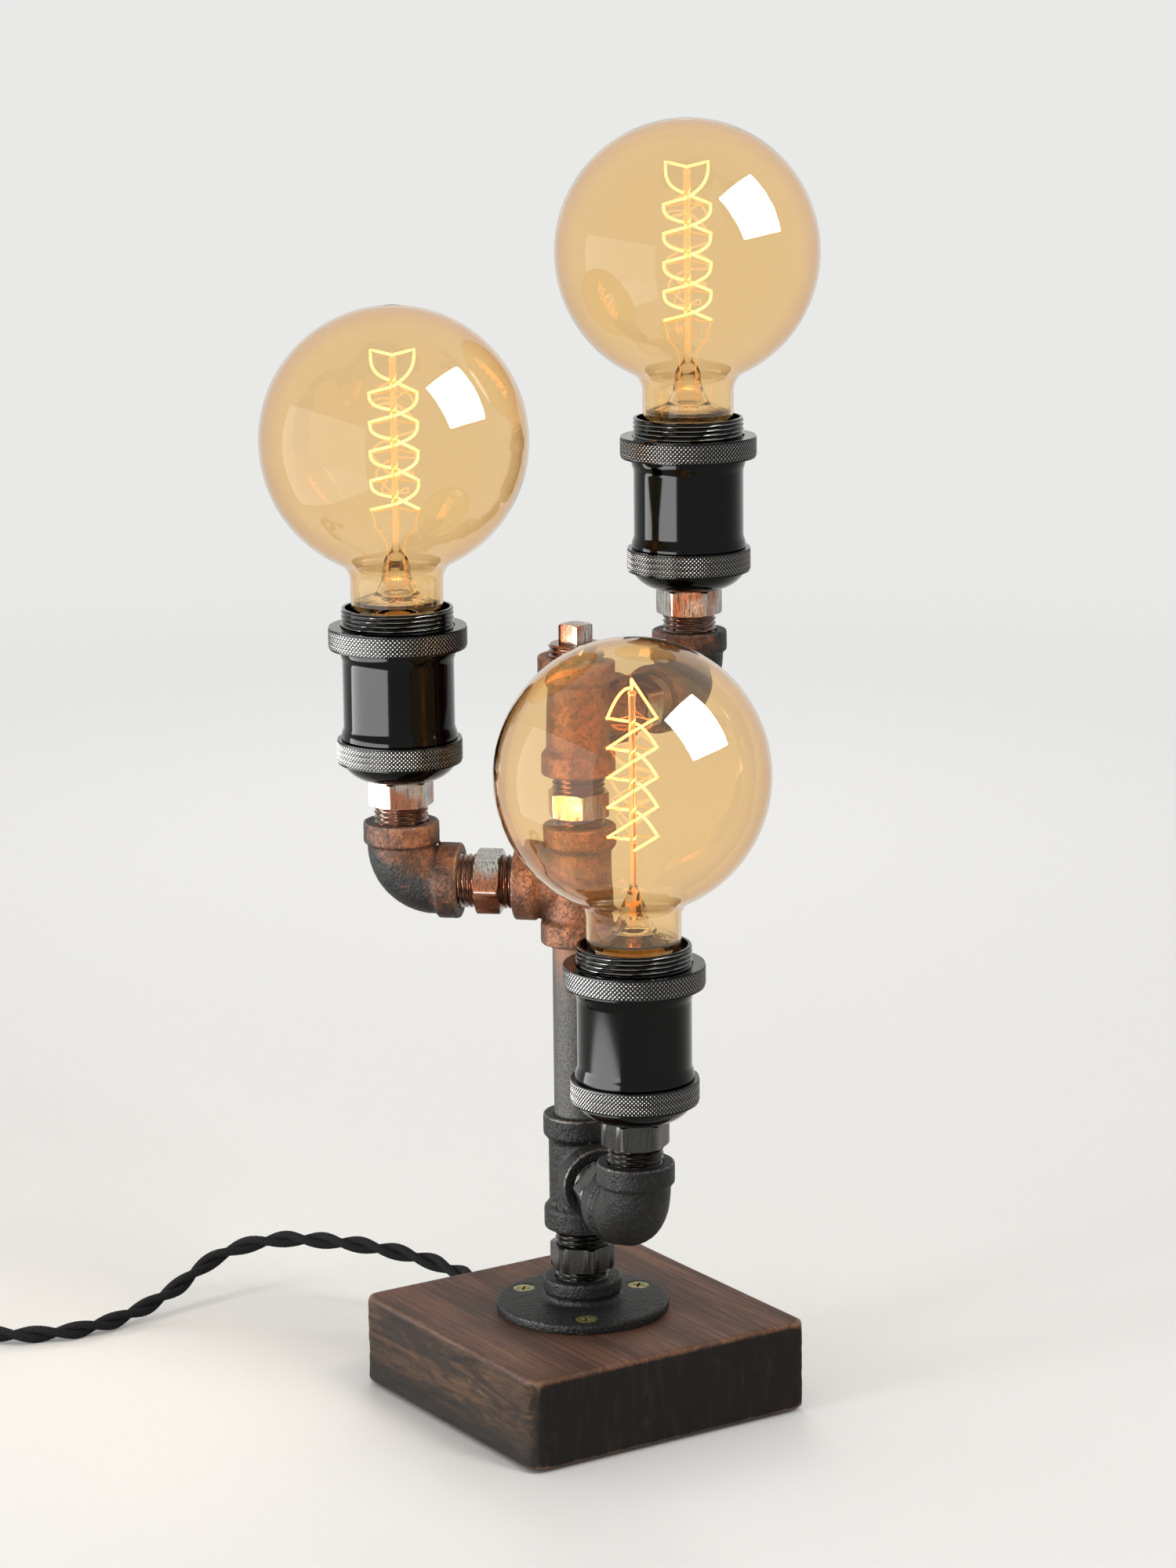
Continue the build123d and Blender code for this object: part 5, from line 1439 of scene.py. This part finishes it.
class LAMP_OT_base(bpy.types.Operator):
    """Make the wooden block and the felt under it"""

    bl_idname = "lamp.base"
    bl_label = "Wooden Base"

    def execute(self, context):
        size = sizes()
        low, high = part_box("base_block")
        mesh = skin("base_block", "wooden_block", size.wood_voxel, 2)

        inner_x, inner_y = high.x - 8 * MM, high.y - 8 * MM

        def relief(point, normal):
            swell = noise.noise(point * 30) * 0.14 - 0.12
            if normal[2] > 0.7:
                grain = noise.noise(Vector((point.x * 500, point.y * 25, 0))) * 0.05
                return (swell * 0.7 + grain) * MM
            if point.z < low.z + 0.4 * MM or abs(point.x) < inner_x and abs(point.y) < inner_y:
                return 0.0
            if abs(normal[0]) > 0.6:
                torn = noise.noise(Vector((0, point.y * 40, point.z * 260)))
                torn += 0.6 * noise.noise(Vector((5, point.y * 130, point.z * 620)))
                chip = max(0.0, noise.noise(Vector((9, point.y * 60, point.z * 90))) - 0.30)
                return (swell + torn * 0.26 - 0.30 - chip * 1.3) * MM
            saw = noise.noise(Vector((point.x * 800, 2, point.z * 60))) * 0.05
            return (swell + saw - 0.12) * MM

        relieve(mesh, relief)
        edge_wear(mesh)
        new_piece("wooden_block", mesh, finish(burnt_wood), "root", "walnut", ("base_block",))
        felt_mesh = skin("base_pad", "felt_pad", 0.7 * MM, 1)
        pad = new_piece("felt_pad", felt_mesh, finish(felt), "root", "felt", ("base_pad",))
        return {"FINISHED"}


class LAMP_OT_castings(bpy.types.Operator):
    """Make the sand-cast flange, tees and elbows"""

    bl_idname = "lamp.castings"
    bl_label = "Castings"

    def execute(self, context):
        size = sizes()
        castings = {"floor_flange": "black_iron", "lower_tee": "black_iron", "middle_tee": "rust_iron",
                    "upper_tee": "rust_iron", "front_elbow": "black_iron", "left_elbow": "rust_iron",
                    "back_elbow": "rust_iron"}
        seams = {f"{arm}_elbow": UP.cross(holder_axis(arm)).normalized() for arm in ARMS}
        for node, slot in castings.items():
            mesh = skin(node, f"cast_{node}", size.cast_voxel, 3)
            relieve(mesh, cast_relief)
            if node in seams:
                relieve(mesh, lambda point, _normal: parting_line(point, seams[node]))
            edge_wear(mesh)
            new_piece(f"cast_{node}", mesh, finish(cast_iron), "root", slot, (node,))
        return {"FINISHED"}


class LAMP_OT_steelwork(bpy.types.Operator):
    """Make the threaded nipples, the riser pipe and the closing plug, and finish the wood screws"""

    bl_idname = "lamp.steelwork"
    bl_label = "Threaded Steel"

    def execute(self, context):
        size = sizes()
        for node in ("base_nipple", "upper_nipple"):
            hex_nipple(f"{node}_hex", node, Vector((0, 0, 0)), UP)
        for arm, tee in zip(ARMS, ("lower_tee", "middle_tee", "upper_tee")):
            low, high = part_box(tee)
            stand = holder_axis(arm)
            branch = Vector((0, 0, (low.z + high.z) / 2))
            hex_nipple(f"{arm}_arm_nipple_hex", f"{arm}_arm_nipple", branch, stand)
            hex_nipple(f"{arm}_holder_nipple_hex", f"{arm}_holder_nipple", stand, UP)

        low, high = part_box("riser_pipe")
        engaged = 9.0 * MM
        pipe_r, bore = 9.5 * MM, 7.0 * MM
        wall = [(PIPE_THREAD_R, low.z), (PIPE_THREAD_R, low.z + engaged - 0.6 * MM),
                (pipe_r, low.z + engaged)]
        rise = (high.z - low.z - 2 * engaged) / 24
        wall += [(pipe_r, low.z + engaged + rise * k) for k in range(1, 24)]
        wall += [(pipe_r, high.z - engaged), (PIPE_THREAD_R, high.z - engaged + 0.6 * MM),
                 (PIPE_THREAD_R, high.z), (bore, high.z), (bore, low.z)]
        points, faces, _, _ = turn_profile(Spindle(Vector((0, 0, 0))), wall, 96)
        new_piece("riser", build_mesh("riser", points, faces), finish(grey_pipe), "root", "rust_iron",
                  ("riser_pipe",))

        plug = node_points("top_plug")
        low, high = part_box("top_plug")
        radius = np.hypot(plug[:, 0], plug[:, 1])
        thread_top = float(plug[radius > PIPE_THREAD_R - 0.05 * MM][:, 2].max())
        head = plug[plug[:, 2] > thread_top + 1.5 * MM]
        tip = head[np.argmax(np.hypot(head[:, 0], head[:, 1]))]
        profile = thread_profile(PIPE_THREAD_R, 1e-6, low.z, thread_top + 0.7 * MM, size.pipe_pitch)
        cut = thread_offset(PIPE_THREAD_R, low.z, thread_top + 0.7 * MM, size.pipe_pitch, size.pipe_depth)
        spindle = Spindle(Vector((0, 0, 0)))
        points, faces, _, _ = turn_profile(spindle, profile, 72, cut)
        side = 4.4 * MM
        *collar, rubbed_and_glint = polygon_collar(spindle, 4, side, 1e-6, thread_top - 0.5 * MM, high.z, 1.0 * MM,
                                         atan2(float(tip @ spindle.across), float(tip @ spindle.side)), 12)
        points, faces, number = join_shells((points, faces), collar)
        marks = {"thread": (number == 0).astype(float), "rubbed_and_glint": np.zeros(len(points))}
        marks["rubbed_and_glint"][number == 1] = rubbed_and_glint
        mesh = build_mesh("square_plug", points, faces, marks, sharp=32)
        new_piece("square_plug", mesh, finish(turned_steel), "root", "rust_iron", ("top_plug",))

        frame["nodes"]["flange_screws"].data.materials.clear()
        frame["nodes"]["flange_screws"].data.materials.append(finish(yellow_zinc))
        return {"FINISHED"}


class LAMP_OT_lampholders(bpy.types.Operator):
    """Make the plated cups, shells and knurled rings, and finish the cores and contacts"""

    bl_idname = "lamp.lampholders"
    bl_label = "Lampholders"

    def execute(self, context):
        for arm in ARMS:
            holder_cup(arm)
            holder_shell(arm)
            shade_ring(arm)
            give_finish(f"{arm}_socket_insert", finish(glazed_core))
            give_finish(f"{arm}_socket_contacts", finish(cap_brass))
        return {"FINISHED"}


class LAMP_OT_bulbs(bpy.types.Operator):
    """Make the globes with their stems, cage filaments and screw caps"""

    bl_idname = "lamp.bulbs"
    bl_label = "Bulbs"

    def execute(self, context):
        for arm in ARMS:
            bulb_glass(arm)
            stem(arm)
            filament(arm)
            bulb_cap(arm)
        return {"FINISHED"}


def give_finish(node, material):
    """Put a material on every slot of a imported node."""
    mesh = frame["nodes"][node].data
    mesh.materials.clear()
    mesh.materials.append(material)


class LAMP_OT_wiring(bpy.types.Operator):
    """Finish the gland, switch, plug and the wiring inside"""

    bl_idname = "lamp.wiring"
    bl_label = "Wiring"

    def execute(self, context):
        for node in ("cord_gland", "switch_case", "switch_cover", "plug_body", "lamp_wires", "supply_cores"):
            give_finish(node, finish(moulded_plastic, "black", 0.42))
        give_finish("switch_rocker", finish(moulded_plastic, "black", 0.18))
        give_finish("terminal_block", finish(moulded_plastic, "white", 0.4))
        give_finish("switch_contacts", finish(cap_brass))
        give_finish("plug_pins", finish(cap_brass))
        return {"FINISHED"}


FLOOR_REACH = 30.0
ROOM_TINT = (1.0, 1.0, 0.985)
ROOM_LIGHT, ROOM_SEEN = 0.62, 0.86
LIGHT_AIM = Vector((0, 0, 0.22))
UNIT_POWER = 4


def soft_box(name, azimuth, distance, height, size, power):
    """A rectangular light beside the lamp, not yet turned to it."""
    data = bpy.data.lights.new(name, "AREA")
    data.shape = "RECTANGLE"
    data.size, data.size_y = size
    data.energy = power
    box = bpy.data.objects.new(name, data)
    bpy.context.scene.collection.objects.link(box)
    angle = radians(azimuth)
    box.location = (sin(angle) * distance, -cos(angle) * distance, height)
    box.rotation_mode = "QUATERNION"
    box.visible_transmission = False
    return box


def soft_light(name, azimuth, distance, height, size, power, colour):
    """A soft box that lights the lamp and the floor, and shows in no reflection."""
    box = soft_box(name, azimuth, distance, height, size, power)
    box.data.color = colour
    box.rotation_quaternion = (LIGHT_AIM - box.location).to_track_quat("-Z", "Y")
    box.visible_glossy = False


def reflected_light(name, azimuth, distance, height, size, tilt, strength, receivers):
    """A soft box that shows only in the reflections of its receivers.

    UNIT_POWER is the power by which each square metre of a light's face gets a strength of 1.
    """
    box = soft_box(name, azimuth, distance, height, size, strength * UNIT_POWER * size[0] * size[1])
    turn, rise = radians(azimuth), radians(tilt)
    way = Vector((sin(turn) * cos(rise), -cos(turn) * cos(rise), sin(rise)))
    box.rotation_quaternion = way.to_track_quat("Z", "Y")
    box.visible_camera = False
    box.visible_diffuse = False
    box.light_linking.receiver_collection = receivers


class LAMP_OT_stage(bpy.types.Operator):
    """Set the pale floor, the pale surroundings and the soft lights"""

    bl_idname = "lamp.stage"
    bl_label = "Stage"

    def execute(self, context):
        scene = context.scene
        scene.view_settings.view_transform = "Standard"
        corners = [(x * FLOOR_REACH, y * FLOOR_REACH, 0) for x, y in ((-1, -1), (1, -1), (1, 1), (-1, 1))]
        floor_mesh = bpy.data.meshes.new("floor")
        floor_mesh.from_pydata(corners, [], [(0, 1, 2, 3)])
        floor_mesh.materials.append(pale_floor())
        floor = bpy.data.objects.new("floor", floor_mesh)
        scene.collection.objects.link(floor)

        scene.world = bpy.data.worlds.new("pale_room")
        room = Finish("pale_room", scene.world)
        strength = ROOM_LIGHT + seen_directly(room) * (ROOM_SEEN - ROOM_LIGHT)
        walls = room.node("ShaderNodeBackground", None, {"Color": ROOM_TINT, "Strength": strength})
        room.node("ShaderNodeOutputWorld", None, {"Surface": walls.outputs[0]})

        globes = bpy.data.collections.new("globes")
        others = bpy.data.collections.new("others")
        for piece in scene.objects:
            if piece.type == "MESH" and piece != floor:
                group = globes if piece.name.endswith("_globe") else others
                group.objects.link(piece)
        reflected_light("key_window", 38, 1.28, 1.21, (1.15, 1.10), 37, 36.0, globes)
        reflected_light("side_window", -97, 0.47, 0.26, (0.72, 0.52), 0, 1.1, globes)
        reflected_light("low_window", -100, 0.50, 0.16, (0.90, 0.30), 0, 10.0, others)
        soft_light("key_light", 15, 1.25, 1.15, (0.36, 0.52), 9.0, (1.0, 0.985, 0.96))
        soft_light("side_light", -85, 1.15, 0.55, (0.22, 0.80), 4.5, (0.96, 0.98, 1.0))
        soft_light("rim_light", 150, 1.3, 0.9, (0.5, 0.5), 5.0, (1.0, 0.98, 0.95))
        return {"FINISHED"}


STEPS = ("camera", "cord", "base", "castings", "steelwork", "lampholders", "bulbs", "wiring", "stage")


class LAMP_PT_panel(bpy.types.Panel):
    """Lists the lamp's pieces in the order they are made"""

    bl_label = "Pipe Lamp"
    bl_idname = "LAMP_PT_panel"
    bl_space_type = "VIEW_3D"
    bl_region_type = "UI"
    bl_category = "Pipe Lamp"

    def draw(self, context):
        column = self.layout.column()
        for step in STEPS:
            column.operator(f"lamp.{step}")
        for group in (context.scene.lamp_sizes, context.scene.lamp_colours):
            for key in group.bl_rna.properties.keys():
                if key not in ("rna_type", "name"):
                    column.prop(group, key)


CLASSES = (
    LampSizes, LampColours, LAMP_OT_camera, LAMP_OT_cord, LAMP_OT_base, LAMP_OT_castings, LAMP_OT_steelwork,
    LAMP_OT_lampholders, LAMP_OT_bulbs, LAMP_OT_wiring, LAMP_OT_stage, LAMP_PT_panel,
)


def register():
    for cls in CLASSES:
        bpy.utils.register_class(cls)
    bpy.types.Scene.lamp_sizes = bpy.props.PointerProperty(type=LampSizes)
    bpy.types.Scene.lamp_colours = bpy.props.PointerProperty(type=LampColours)


def unregister():
    del bpy.types.Scene.lamp_colours
    del bpy.types.Scene.lamp_sizes
    for cls in reversed(CLASSES):
        bpy.utils.unregister_class(cls)


def main():
    register()
    for step in STEPS:
        getattr(bpy.ops.lamp, step)()


if __name__ == "__main__":
    main()
